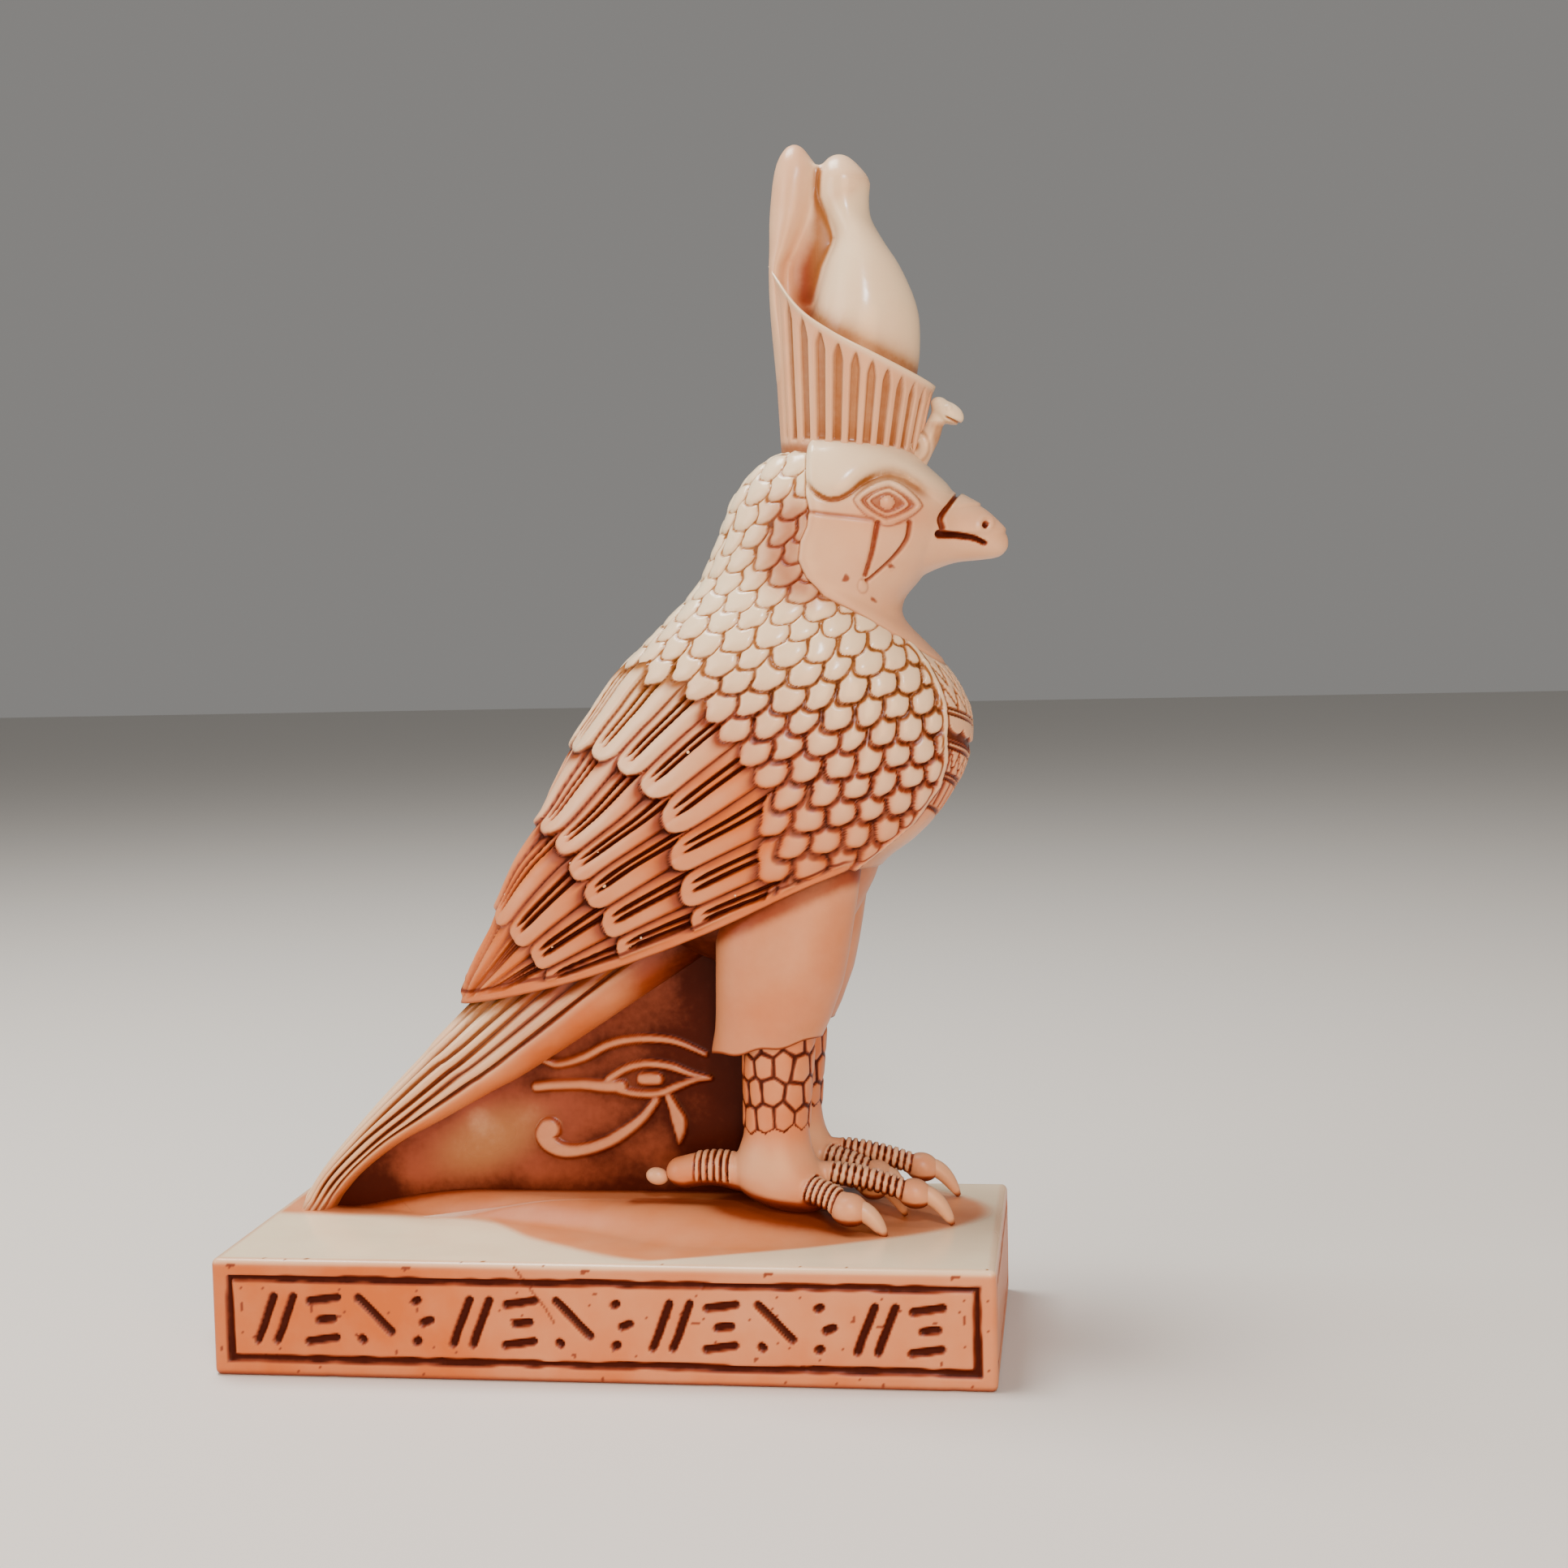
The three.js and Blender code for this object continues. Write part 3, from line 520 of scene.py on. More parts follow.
@dataclass(frozen=True)
class LevelForm:
    """A form of level oval sections, given by where each one's back and front are and its half width."""

    stations: Stations
    squareness: float = 1.0
    middle: float = 0.0

    def point(self, turn: Array, level: Array) -> Array:
        """Points of the form's skin.

        Args:
            turn: Turns round the section, 0 at the back and a quarter turn on the falcon's right.
            level: The sections' levels.

        Returns:
            Rows of x, y and level.
        """
        turn, level = np.broadcast_arrays(turn, level)
        back, front, half, *own_squareness = self.stations.all_at(level)
        power = own_squareness[0] if own_squareness else self.squareness
        x = (back + front) / 2 - (front - back) / 2 * np.cos(turn)
        y = self.middle - half * signed_power(np.sin(turn), power)
        return np.stack([x, y, level], -1)

    def rings(self, count: int, rows: int, low: float | None = None) -> Array:
        """Rings of the form's skin from one level up to the last station's.

        Args:
            count: Points in a ring.
            rows: Rings.
            low: The lowest level, or the first station's.

        Returns:
            The rings' points.
        """
        places = self.stations.places
        levels = np.linspace(places[0] if low is None else low, places[-1], rows)
        return self.point(full_turn(count)[None, :], levels[:, None])


# Finish


def linear(hex_colour: str) -> tuple[float, float, float, float]:
    """An sRGB hex colour made linear.

    Args:
        hex_colour: The colour, such as "#C8B48A".

    Returns:
        Linear red, green, blue and alpha.
    """
    channels = [int(hex_colour[i : i + 2], 16) / 255 for i in (1, 3, 5)]
    values = [c / 12.92 if c <= 0.04045 else ((c + 0.055) / 1.055) ** 2.4 for c in channels]
    return (*values, 1.0)


def add_node(
    tree: bpy.types.NodeTree, kind: str, inputs: dict[Any, Any], output: Any = 0, **settings: Any
) -> Any:
    """Adds a shader node with its settings and its inputs' values or links.

    Args:
        tree: The material's node tree.
        kind: The node's type.
        inputs: A value, or another node's output, for each input by name or number.
        output: The name or number of the output that is wanted, or None.
        settings: The node's properties.

    Returns:
        The output.
    """
    node = tree.nodes.new(kind)
    for name, value in settings.items():
        setattr(node, name, value)
    for name, value in inputs.items():
        if isinstance(value, bpy.types.NodeSocket):
            tree.links.new(value, node.inputs[name])
        else:
            node.inputs[name].default_value = value
    return None if output is None else node.outputs[output]


@dataclass(frozen=True)
class WashedResin:
    """Cast polyester resin, tinted ivory, with brown glaze wiped off all but the recesses.

    The casting is smooth and was buffed, so it shines softly where it is bare and less under the
    glaze. The glaze gives pale high places, warm orange where a film of it stays, ochre lines high
    up where most of it was wiped away, and a dark red brown in the deep grooves below. The film's
    amount comes from the tone attribute, which in places also paints light: a thicker warm film
    where warm light falls, a thinner one where light comes from above, and the figure's warm cast
    shadow on the plinth.
    """

    name: str = "washed_ivory_resin"
    ivory: str = "#F2E2BF"
    orange: str = "#C6620E"
    ochre: str = "#96602C"
    glaze: str = "#86370F"
    umber: str = "#5A2E12"
    pooled: str = "#3C0E02"
    index: float = 1.5
    roughness: float = 0.18
    film_roughness: float = 0.3
    bare_shine: float = 0.5
    lost_shine: float = 0.4
    thin: tuple[float, float] = (0.04, 0.52)
    thick: tuple[float, float] = (0.45, 1.0)
    low_down: tuple[float, float] = (0.2, 0.65)
    mottle_mm: float = 7.0
    mottling: float = 0.2
    smear_mm: float = 1.3
    smearing: float = 0.3
    grain_mm: float = 0.35
    grain_height_mm: float = 0.05
    grain_strength: float = 0.12

    def material(self) -> bpy.types.Material:
        """The finish as a node material.

        Returns:
            The material.
        """
        made = bpy.data.materials.new(self.name)
        made.use_nodes = True
        made.node_tree.nodes.clear()
        add = partial(add_node, made.node_tree)
        place = add("ShaderNodeTexCoord", {}, "Object")
        wash, tone = (
            add("ShaderNodeAttribute", {}, "Fac", attribute_type="GEOMETRY", attribute_name=name)
            for name in ("wash", "tone")
        )
        lumps = {"Vector": place, "Roughness": 0.55}
        mottle, smear, grain = (
            add("ShaderNodeTexNoise", {**lumps, "Scale": 1 / (size_mm * MM), "Detail": detail}, "Fac")
            for size_mm, detail in ((self.mottle_mm, 3.0), (self.smear_mm, 4.0), (self.grain_mm, 2.0))
        )
        film = add("ShaderNodeMath", {0: mottle, 1: self.mottling, 2: tone}, operation="MULTIPLY_ADD")
        film = add("ShaderNodeMath", {0: film, 1: -self.mottling / 2}, operation="ADD")
        smeared = {0: smear, 1: self.smearing, 2: 1 - self.smearing / 2}
        uneven = add("ShaderNodeMath", smeared, operation="MULTIPLY_ADD")
        depth = add("ShaderNodeMath", {0: wash, 1: uneven}, operation="MULTIPLY")
        thin, thick, low_down = (
            add(
                "ShaderNodeMapRange",
                {"Value": value, "From Min": low, "From Max": high},
                interpolation_type="SMOOTHSTEP",
            )
            for value, (low, high) in ((depth, self.thin), (depth, self.thick), (tone, self.low_down))
        )
        mixing = {"data_type": "RGBA", "clamp_factor": True}
        colour, brown, dark = (
            add("ShaderNodeMix", {0: share, 6: linear(under), 7: linear(over)}, 2, **mixing)
            for share, under, over in (
                (film, self.ivory, self.orange),
                (low_down, self.ochre, self.glaze),
                (low_down, self.umber, self.pooled),
            )
        )
        for share, over in ((thin, brown), (thick, dark)):
            colour = add("ShaderNodeMix", {0: share, 6: colour, 7: over}, 2, **mixing)
        gloss, shine = (
            add("ShaderNodeMath", {0: share, 1: change, 2: bare}, operation="MULTIPLY_ADD")
            for share, change, bare in (
                (tone, self.film_roughness, self.roughness),
                (thick, -self.lost_shine, self.bare_shine),
            )
        )
        height = self.grain_height_mm * MM
        bump = {"Strength": self.grain_strength, "Distance": height, "Height": grain}
        surface = {
            "Base Color": colour,
            "Roughness": gloss,
            "Specular IOR Level": shine,
            "IOR": self.index,
            "Normal": add("ShaderNodeBump", bump, "Normal"),
        }
        shader = add("ShaderNodeBsdfPrincipled", surface, "BSDF")
        add("ShaderNodeOutputMaterial", {"Surface": shader}, None)
        return made


def add_piece(name: str, skin: Skin, finish: bpy.types.Material, sizes: Sizes) -> bpy.types.Object:
    """A finished piece that stands for the solid.

    Args:
        name: The piece's name.
        skin: Its mesh in drawn millimetres.
        finish: Its material.
        sizes: The figure's sizes.

    Returns:
        The piece.
    """
    mesh = bpy.data.meshes.new(name)
    mesh.from_pydata(sizes.place(skin.points).tolist(), [], skin.faces)
    mesh.polygons.foreach_set("use_smooth", np.ones(len(mesh.polygons), bool))
    for key in ("wash", "tone"):
        layer = mesh.attributes.new(key, "FLOAT", "POINT")
        layer.data.foreach_set("value", np.clip(getattr(skin, key), 0, 1).astype(np.float32))
    if skin.normals is not None:
        mesh.normals_split_custom_set_from_vertices(skin.normals.tolist())
    mesh.materials.append(finish)
    piece = bpy.data.objects.new(name, mesh)
    bpy.context.scene.collection.objects.link(piece)
    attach(piece, BODY)
    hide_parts(NODE)
    LOG.info("%s: %d points, %d faces", name, len(mesh.vertices), len(mesh.polygons))
    return piece


# Carving patterns


@dataclass(frozen=True)
class ScaleCarving:
    """Rounded overlapping scales in staggered rows, whose sizes change with the height."""

    sizes: Stations = Stations(
        names=("pitch", "width", "gap", "height", "shade"),
        rows=(
            (36, 3.9, 5.7, 0.7, 1.0, 0.6), (60, 3.9, 5.6, 0.65, 1.0, 0.58), (80, 3.9, 5.5, 0.5, 0.95, 0.5),
            (88, 3.7, 5.5, 0.42, 0.8, 0.36), (94, 3.3, 5.5, 0.35, 0.65, 0.2),
            (104, 3.1, 5.3, 0.32, 0.55, 0.17), (110, 3.5, 4.9, 0.34, 0.6, 0.24),
            (132, 3.7, 4.7, 0.34, 0.6, 0.22),
        ),
    )
    anchor: float = 22.0
    row_tilt: float = 0.12
    leans: Path = ((5, -0.5), (28, -0.3), (50, -0.1))
    neck_lean: float = -0.15
    crowding: float = 0.007
    jitter: float = 0.3
    bend: float = 0.22
    fullness: float = 2.5
    seed: int = 3

    def at(
        self, across: Array, up: Array, keep: Callable[[Array, Array], Array]
    ) -> tuple[Array, Array, Array]:
        """The scales' lift at points of the skin.

        Args:
            across: The points' places along the rows.
            up: Their levels.
            keep: Tells from a scale's own place whether it is there.

        Returns:
            The lift, the wash, and how far each uncovered point is from the nearest scale.
        """
        shape = across.shape
        across = across + self.crowding * np.clip(across - 32, 0, 40) ** 2
        dice = np.random.default_rng(self.seed).uniform(-1, 1, (DICE, DICE, 3))
        levels = np.linspace(self.sizes.places[0], self.sizes.places[-1], 400)
        counted = np.cumsum((levels[1] - levels[0]) / self.sizes.at("pitch", levels))
        level = up - self.row_tilt * (across - self.anchor)
        lean = second_at(self.leans, across) + self.neck_lean * ramp(up, 96, 106)
        flat = np.stack([across, up, 0 * up], -1)
        grit = noise(flat, 0.5, 4)
        bend_across, bend_up = (self.bend * noise(flat, 1.9, seed) for seed in (5, 6))
        lift, wash = np.zeros(shape), np.zeros(shape)
        covered, apart = np.zeros(shape, bool), np.full(shape, np.inf)
        first = np.round(np.interp(level, levels, counted))
        for above in (2, 1, 0, -1):
            row = first + above
            stagger = 0.5 * (row % 2)
            middle_level = np.interp(row, counted, levels)
            pitch, width, gap, height, shade = self.sizes.all_at(middle_level)
            nearest = np.round((across - self.anchor) / width - stagger)
            half, drop = (width - gap) / 2, 0.6 * pitch
            for beside in (-1, 0, 1):
                column = nearest + beside
                roll = dice[np.abs(column).astype(int) % DICE, row.astype(int) % DICE]
                middle = self.anchor + (column + stagger) * width + self.jitter * roll[..., 0]
                centre = middle_level + self.jitter * roll[..., 1]
                du, dv = across - middle + bend_across, level - centre + bend_up
                du = (du + lean * np.minimum(dv, 0) + 0.12 * roll[..., 2] * dv) / (1 + 0.1 * roll[..., 2])
                reach = np.where(dv < 0, -dv / drop, dv / (1.3 * pitch))
                rho = (np.abs(du / half) ** self.fullness + reach**self.fullness) ** (1 / self.fullness)
                edge = (1 - rho) * drop
                there = keep(middle, centre + self.row_tilt * (middle - self.anchor))
                inside, outside = there & (edge > 0) & ~covered, there & (edge <= 0)
                top = round_top(np.clip(rho, 0, 1), 2.2) * (1 - 0.3 * dv / pitch)
                # Painted shade, with glaze: each scale is washed dark just under the edges of the scales
                # above it, fading away from them.
                lee_shade = 1 - ramp(np.clip(apart, 0, 9), 0.3 * shade, 2.3 * shade)
                lift = np.where(inside, height * (top - 0.45 * lee_shade), lift)
                shadow_and_stain = np.maximum(0.6 * np.exp(-edge / 0.13), lee_shade * (0.85 + 0.25 * grit))
                wash = np.where(inside, shadow_and_stain, wash)
                apart = np.where(outside, np.minimum(apart, -edge), apart)
                covered |= inside
        return lift, np.where(covered, wash, 1.0), np.where(covered, 0, apart)


def honeycomb(across: Array, up: Array, width: float, pitch: float, seed: int) -> tuple[Array, Array]:
    """How far points lie inside the borders of a net of rounded cells.

    Args:
        across: The points' places along the rows.
        up: Their heights over the rows.
        width: A cell's width.
        pitch: The distance between rows.
        seed: The seed of the cells' unevenness.

    Returns:
        Distances from the nearest border, and the number of the row each point is in.
    """
    dice = np.random.default_rng(seed).uniform(-0.16, 0.16, (DICE, DICE, 2))
    distances, rows = [], []
    for above in (-1, 0, 1):
        row = np.round(up / pitch) + above
        stagger = 0.5 * (row % 2)
        nearest = np.round(across / width - stagger)
        for beside in (-1, 0, 1):
            roll = dice[(nearest + beside).astype(int) % DICE, row.astype(int) % DICE]
            du = across - (nearest + beside + stagger + roll[..., 0]) * width
            dv = up - (row + roll[..., 1]) * pitch
            distances.append(np.hypot(du, dv * width / pitch * 1.05))
            rows.append(row)
    stacked = np.stack(distances)
    nearest_row = np.take_along_axis(np.stack(rows), stacked.argmin(0)[None], 0)[0]
    closest = np.sort(stacked, axis=0)
    return (closest[1] - closest[0]) / 2, nearest_row


@dataclass(frozen=True)
class FeatherTier:
    """One row of long feathers in the fan: how far its tips are from the fan's centre, and their turns."""

    tip: float
    turns: tuple[float, ...]

    def at(self, radius: Array, turn: Array) -> tuple[Array, Array, Array]:
        """Where points lie on the row's feathers.

        Args:
            radius: The points' distances from the fan's centre.
            turn: Their turns in degrees.

        Returns:
            How far each is past its feather's tip, its place from the lower edge at -1 to the upper
            at 1, and the feather's half width there.
        """
        turns = np.sort(np.asarray(self.turns))
        first, last = turns[1] - turns[0], turns[-1] - turns[-2]
        turns = np.concatenate([[turns[0] - 2 * first, turns[0] - first], turns, [turns[-1] + last]])
        place = np.interp(turn, turns, np.arange(len(turns)))
        feather = np.round(place)
        across = 2 * (place - feather)
        i = np.clip(place.astype(int), 0, len(turns) - 2)
        half_turn = np.radians(turns[i + 1] - turns[i]) / 2
        wobble = 0.5 * np.sin(7.3 * feather + self.tip)
        past = radius - self.tip - wobble - half_turn * self.tip * (1 - round_top(np.abs(across), 2.4))
        return past, across, half_turn * radius


@dataclass(frozen=True)
class FeatherCarving:
    """Long feathers that fan out from the wing's tip in rows, each row over the one below it."""

    centre: tuple[float, float] = (3.0, 34.0)
    tiers: tuple[FeatherTier, ...] = (
        FeatherTier(45, (92, 83, 74, 65.6, 57.4, 47.4, 37.9, 28.8, 22)),
        FeatherTier(32, (95, 84.5, 73.8, 62.3, 51.6, 41.5, 30.6, 22)),
        FeatherTier(18.3, (99, 83, 66.4, 49.6, 33.6, 20.8)),
        FeatherTier(1.5, (100, 82, 64, 46, 28)),
    )
    groove_places: tuple[float, float] = (0.42, 0.04)
    groove_half: float = 0.42
    groove_depth: float = 0.95

    def polar(self, across: Array, up: Array) -> tuple[Array, Array]:
        """Distances from the fan's centre and turns in degrees."""
        du, dv = across - self.centre[0], up - self.centre[1]
        return np.hypot(du, dv), np.degrees(np.arctan2(dv, du))

    def at(self, across: Array, up: Array) -> tuple[Array, Array]:
        """The feathers' lift and wash.

        Args:
            across: The points' girth from the spine.
            up: Their levels.

        Returns:
            The lift and the wash.
        """
        radius, turn = self.polar(across, up)
        lift, wash = np.full(radius.shape, 0.1), np.full(radius.shape, 0.9)
        open_ground, shade = np.ones(radius.shape, bool), np.zeros(radius.shape)
        for tier in self.tiers:
            past, place, half = tier.at(radius, turn)
            here = open_ground & (past > 0)
            own_lift, own_wash = self._feather(past, place, half)
            lift = np.where(here, own_lift, lift)
            wash = np.where(here, np.clip(own_wash + shade, 0, 1), wash)
            open_ground &= ~here
            shade = np.where(past <= 0, 0.95 * np.exp(past / 1.1), 0)
        return lift, wash

    def _feather(self, past: Array, place: Array, half: Array) -> tuple[Array, Array]:
        """One feather.

        Args:
            past: How far points are past its tip.
            place: Their places across it, from -1 to 1.
            half: Its half width there.

        Returns:
            The lift and the wash.
        """
        slope = np.interp(past, [0, 6, 14], [1.15, 0.8, 0.35])
        low_edge = ramp((1 + place) * half, 0.0, 0.6)
        lower_vane = 0.35 * np.clip(1 - (2 * place + 1) ** 2, 0, 1)
        upper_vane = ramp(place, 0.55, 1.0)
        lift = slope * (0.25 + 0.75 * round_edge(past / 0.7)) + lower_vane
        lift = lift - 0.5 * upper_vane - 0.35 * (1 - low_edge)
        opening = self.groove_half * (0.4 + 0.6 * ramp(past, 2.0, 4.2))
        offs = [np.abs(place - middle) * half / opening for middle in self.groove_places]
        cut = (1 - ramp(np.minimum(*offs), 0.5, 1.25)) * ramp(past, 1.9, 2.5)
        edge_line, rim = np.exp(-((1 + place) * half) / 0.16), np.exp(-past / 0.14)
        film = upper_vane * ramp(past, 1.0, 4.0)
        # Painted shade, with glaze: each feather is washed dark along its upper edge, where it runs under
        # the feather above.
        shade_under_feather_above = ramp((1 - place) * half, 0.7, 0.0)
        wash = np.maximum.reduce([1.05 * cut, 0.85 * shade_under_feather_above, 0.3 * film, 0.7 * edge_line, 0.7 * rim])
        return lift - self.groove_depth * cut, wash


@dataclass(frozen=True)
class Collar:
    """The broad collar on the breast, with bands of points, petals, lines and short strokes."""

    fall: float = 0.26
    lines: tuple[float, ...] = (82.4, 81.5, 77.0, 76.0, 72.0, 71.2, 66.6)
    line_half: float = 0.28
    points: tuple[tuple[float, float, float], ...] = (
        (86.6, 90.6, 2.9), (82.6, 86.4, 2.9), (72.2, 75.8, 2.3),
    )
    petal_root: float = 78.6
    petal_height: float = 1.5
    petal_pitch: float = 3.4
    stroke_pitch: float = 1.9
    depth: float = 0.55

    def at(self, level: Array, front: Array) -> tuple[Array, Array]:
        """The collar's lift and wash.

        Args:
            level: The points' levels.
            front: Their girth from the breast's middle line.

        Returns:
            The lift and the wash.
        """
        drop = level - self.fall * front
        cuts = [groove(drop - line, self.line_half) for line in self.lines]
        for low, high, pitch in self.points:
            point = low + (high - low) * zigzag(front / pitch)
            band = window(drop, (low - 0.3, low), (high, high + 0.3))
            cuts.append(groove((drop - point) * 0.5, 0.3) * band)
        rounding = 1 - round_top(2 * ((front / self.petal_pitch) % 1 - 0.5))
        petal = self.petal_root + self.petal_height * rounding
        cuts.append(ramp(petal - drop, -0.1, 0.3) * window(drop, (77.1, 77.5), (80.8, 81.2)))
        upright = groove(((front / self.stroke_pitch) % 1 - 0.5) * self.stroke_pitch, 0.34)
        cuts.append(upright * window(drop, (66.9, 67.4), (70.6, 71.0)))
        cut = np.maximum.reduce(cuts)
        return 0.35 - self.depth * cut, 0.08 + 0.76 * cut


# Falcon's body


BODY_FORM = LevelForm(
    Stations(
        names=("back", "front", "half", "squareness"),
        rows=(
            (34, -29.6, 36.5, 8.4, 0.6), (40.2, -27.3, 38, 10.8, 0.5), (49.4, -22.4, 40.5, 15.4, 0.43),
            (59.1, -18.2, 43.1, 17.4, 0.46), (64, -15.8, 49, 17.8, 0.55), (68.2, -13.4, 53, 18.1, 0.64),
            (73.8, -11, 56.5, 18.4, 0.74), (80, -7.7, 58.3, 18.5, 0.8), (85, -4.5, 57.8, 18.2, 0.8),
            (91, -0.6, 54.6, 17.4, 0.8), (96, 4.5, 49.9, 16.2, 0.8), (100, 8.5, 47, 14.8, 0.8),
            (103, 11.5, 47.4, 13.8, 0.8), (106, 14, 49.9, 13.3, 0.8), (111.5, 16.6, 54, 13.5, 0.8),
            (118, 19.3, 55.5, 13.5, 0.8), (121, 20.9, 54.5, 13, 0.8), (125.5, 25.3, 48.5, 11.2, 0.8),
            (127, 29.5, 45.5, 9.3, 0.8),
        ),
    )
)


@dataclass(frozen=True)
class FaceBorder:
    """Where the smooth face and throat meet the scales, seen from the side."""

    back: Path = (
        (36, 103), (34.8, 104.5), (33.1, 106.3), (31.9, 109.2), (32.3, 112.1), (33.4, 114.4), (33.8, 117),
        (33.2, 119.5), (33.2, 127),
    )
    throat: Path = (
        (20, 108.5), (32.9, 104.9), (40.7, 100.6), (44.9, 97.9), (50.5, 94.1), (57.5, 89.4), (62, 86),
    )

    def inside(self, x: Array, level: Array) -> Array:
        """How far inside the smooth region points lie, negative outside it."""
        over_throat = 0.85 * (level - second_at(self.throat, x))
        return np.minimum(x - first_at(self.back, level), over_throat)


WING_EDGE: Path = ((-30, 35.4), (-9, 40.4), (14, 48.7), (38, 59.0), (44, 59.4), (53, 59.6))


def shade_under_wing(x: Array, level: Array, reach: float) -> Array:
    """Painted shade under the wings' lower edge: 0 at a reach below it, rising to 1 close under it."""
    return ramp(level - second_at(WING_EDGE, x), -reach, -0.2)


@dataclass
class Body:
    """Body, folded wings and neck: one skin from the wings' lower edge to the crown, in two halves."""

    form: LevelForm = BODY_FORM
    edge: Path = WING_EDGE
    rows: int = 328
    columns: int = 262
    table_rows: int = 240
    table_columns: int = 320
    tuck: Path = ((5.0, 1.6), (2.6, 0.7), (1.0, 0.15), (0.35, 0.0))
    scales: ScaleCarving = ScaleCarving()
    feathers: FeatherCarving = FeatherCarving()
    feather_reach: float = 58.5
    border: FaceBorder = FaceBorder()
    mantle: Path = (
        (37.5, 57.5), (40.4, 60.2), (44.6, 63.3), (48.8, 66.7), (53.0, 72.4), (54.3, 76.5), (54.4, 82.6),
        (54.2, 85.5), (53.2, 88.3), (51.3, 92.0), (49.3, 94.5), (47.6, 96.5),
    )
    mantle_slope: float = 1.4
    collar: Collar = Collar()
    hem: tuple[float, float] = (0.9, 1.7)
    face_overlap: float = 1.5

    def __post_init__(self) -> None:
        """Works out the girth of each section, so that carving keeps its size all over the skin."""
        places = self.form.stations.places
        self.table_levels = np.linspace(places[0], places[-1], self.table_rows)
        turns = np.linspace(0, np.pi, self.table_columns)
        walked = run_lengths(self.form.point(turns[None, :], self.table_levels[:, None]))
        self.girths = walked[:, -1]
        shares = np.linspace(0, 1, self.table_columns)
        self.turns = np.stack([np.interp(shares, row / row[-1], turns) for row in walked])

    def turn_at(self, share: Array, level: Array) -> Array:
        """The turns at shares of the half girth.

        Args:
            share: Shares from 0 at the spine to 1 at the front.
            level: The places' levels.

        Returns:
            The turns there.
        """
        low, high = self.table_levels[0], self.table_levels[-1]
        row = np.clip((level - low) / (high - low), 0, 1) * (self.table_rows - 1)
        return sample(self.turns, row, share * (self.table_columns - 1))

    def girth_at(self, level: Array) -> Array:
        """The half girth of the sections at levels."""
        return np.interp(level, self.table_levels, self.girths)

    def base(self) -> tuple[Array, Array]:
        """The plain skin of the right half.

        Returns:
            Points by row and column, and each one's girth from the spine.
        """
        share = np.linspace(0, 1, self.columns + 1)
        level = np.full(share.shape, self.edge[0][1])
        for _ in range(8):
            x = self.form.point(self.turn_at(share, level), level)[:, 0]
            level = spline(*zip(*self.edge), x)
        top = self.form.stations.places[-1]
        levels = level + (top - level) * np.linspace(0, 1, self.rows + 1)[:, None]
        shares = np.broadcast_to(share, levels.shape)
        points = self.form.point(self.turn_at(shares, levels), levels)
        return points, shares * self.girth_at(levels)

    def carving(self, points: Array, girth: Array) -> tuple[Array, Array, Array]:
        """The carving's lift, wash and added film over the skin.

        Args:
            points: The plain skin's points.
            girth: Each one's girth from the spine.

        Returns:
            The lift, the wash and the film that comes on top of the usual one.
        """
        x, level = points[..., 0], points[..., 2]
        lift, wash = self._plumage(x, level, girth)
        over, under_breast = level - second_at(self.edge, x), ramp(x, 42, 36)
        hem = (1 - ramp(over, *self.hem)) * under_breast
        lift, wash = blend(lift, 0.5, hem), blend(wash, 0.08, hem)
        wash = np.maximum(wash, 0.8 * hump(over - self.hem[1] - 0.3, 0.3) * under_breast)
        past_mantle = self.mantle_slope * (x - first_at(self.mantle, level, beyond=99))
        collar_lift, collar_wash = self.collar.at(level, self.girth_at(level) - girth)
        on_collar = past_mantle > 0
        lift = np.where(on_collar, collar_lift, lift)
        # Painted shade: the collar is washed darker low on the breast.
        wash = np.where(on_collar, collar_wash + 0.18 * ramp(level, 67, 61), wash)
        line = hump(past_mantle, 0.5, 4)
        lift = blend(lift, 0.8, line)
        wash = np.maximum(wash * (1 - line), 0.7 * hump(np.abs(past_mantle) - 0.75, 0.25))
        face = self.border.inside(x, level)
        behind = hump(face + 2.6, 5.5) * window(level, (99, 105), (116, 123))
        wash = np.clip(wash + 0.28 * behind, 0, 1)
        lift = blend(lift, -1.7, ramp(face, -0.15, 0.5))
        wash = np.maximum(wash, 0.5 * ramp(face, -0.4, 0.2))
        warm = 0.3 * hump(x - 20, 15) * hump(level - 76, 13)
        # The film is thinned low on the collar, part of the painted shade there.
        return lift, wash, 0.5 * behind + on_collar * (0.02 - 0.37 * ramp(level, 70, 62)) + warm

    def _plumage(self, x: Array, level: Array, girth: Array) -> tuple[Array, Array]:
        """Scales, and the feathers where no scales are.

        Args:
            x: The points' x.
            level: Their levels.
            girth: Their girth from the spine.

        Returns:
            The lift and the wash.
        """
        stations, fan = self.form.stations, self.feathers
        ends = stations.at("back", self.table_levels) + stations.at("front", self.table_levels)
        upright = (ends - self.girths) / 2

        def keep(middle: Array, centre: Array) -> Array:
            """Whether the scale with its middle there is carved."""
            along = middle - np.interp(centre, self.table_levels, upright)
            return fan.polar(along, centre)[0] > self.feather_reach

        across = girth + np.interp(level, self.table_levels, upright)
        lift, wash, apart = self.scales.at(across, level, keep)
        own_lift, own_wash = fan.at(girth, level)
        own_wash = (own_wash + 0.1 * ramp(level, 80, 62)) * (1 - 0.7 * ramp(x, -11, -24))
        # Painted shade on the feathers close under the lowest scales.
        own_wash = np.clip(np.maximum(own_wash, 0.9 * np.exp(-apart / 0.9)), 0, 1)
        fanned = (apart > 0) & (fan.polar(girth, level)[0] < self.feather_reach + 3.5)
        wash = wash * (1 - 0.4 * ramp(level, 84, 106))
        return np.where(fanned, own_lift - 0.25, lift), np.where(fanned, own_wash, wash)

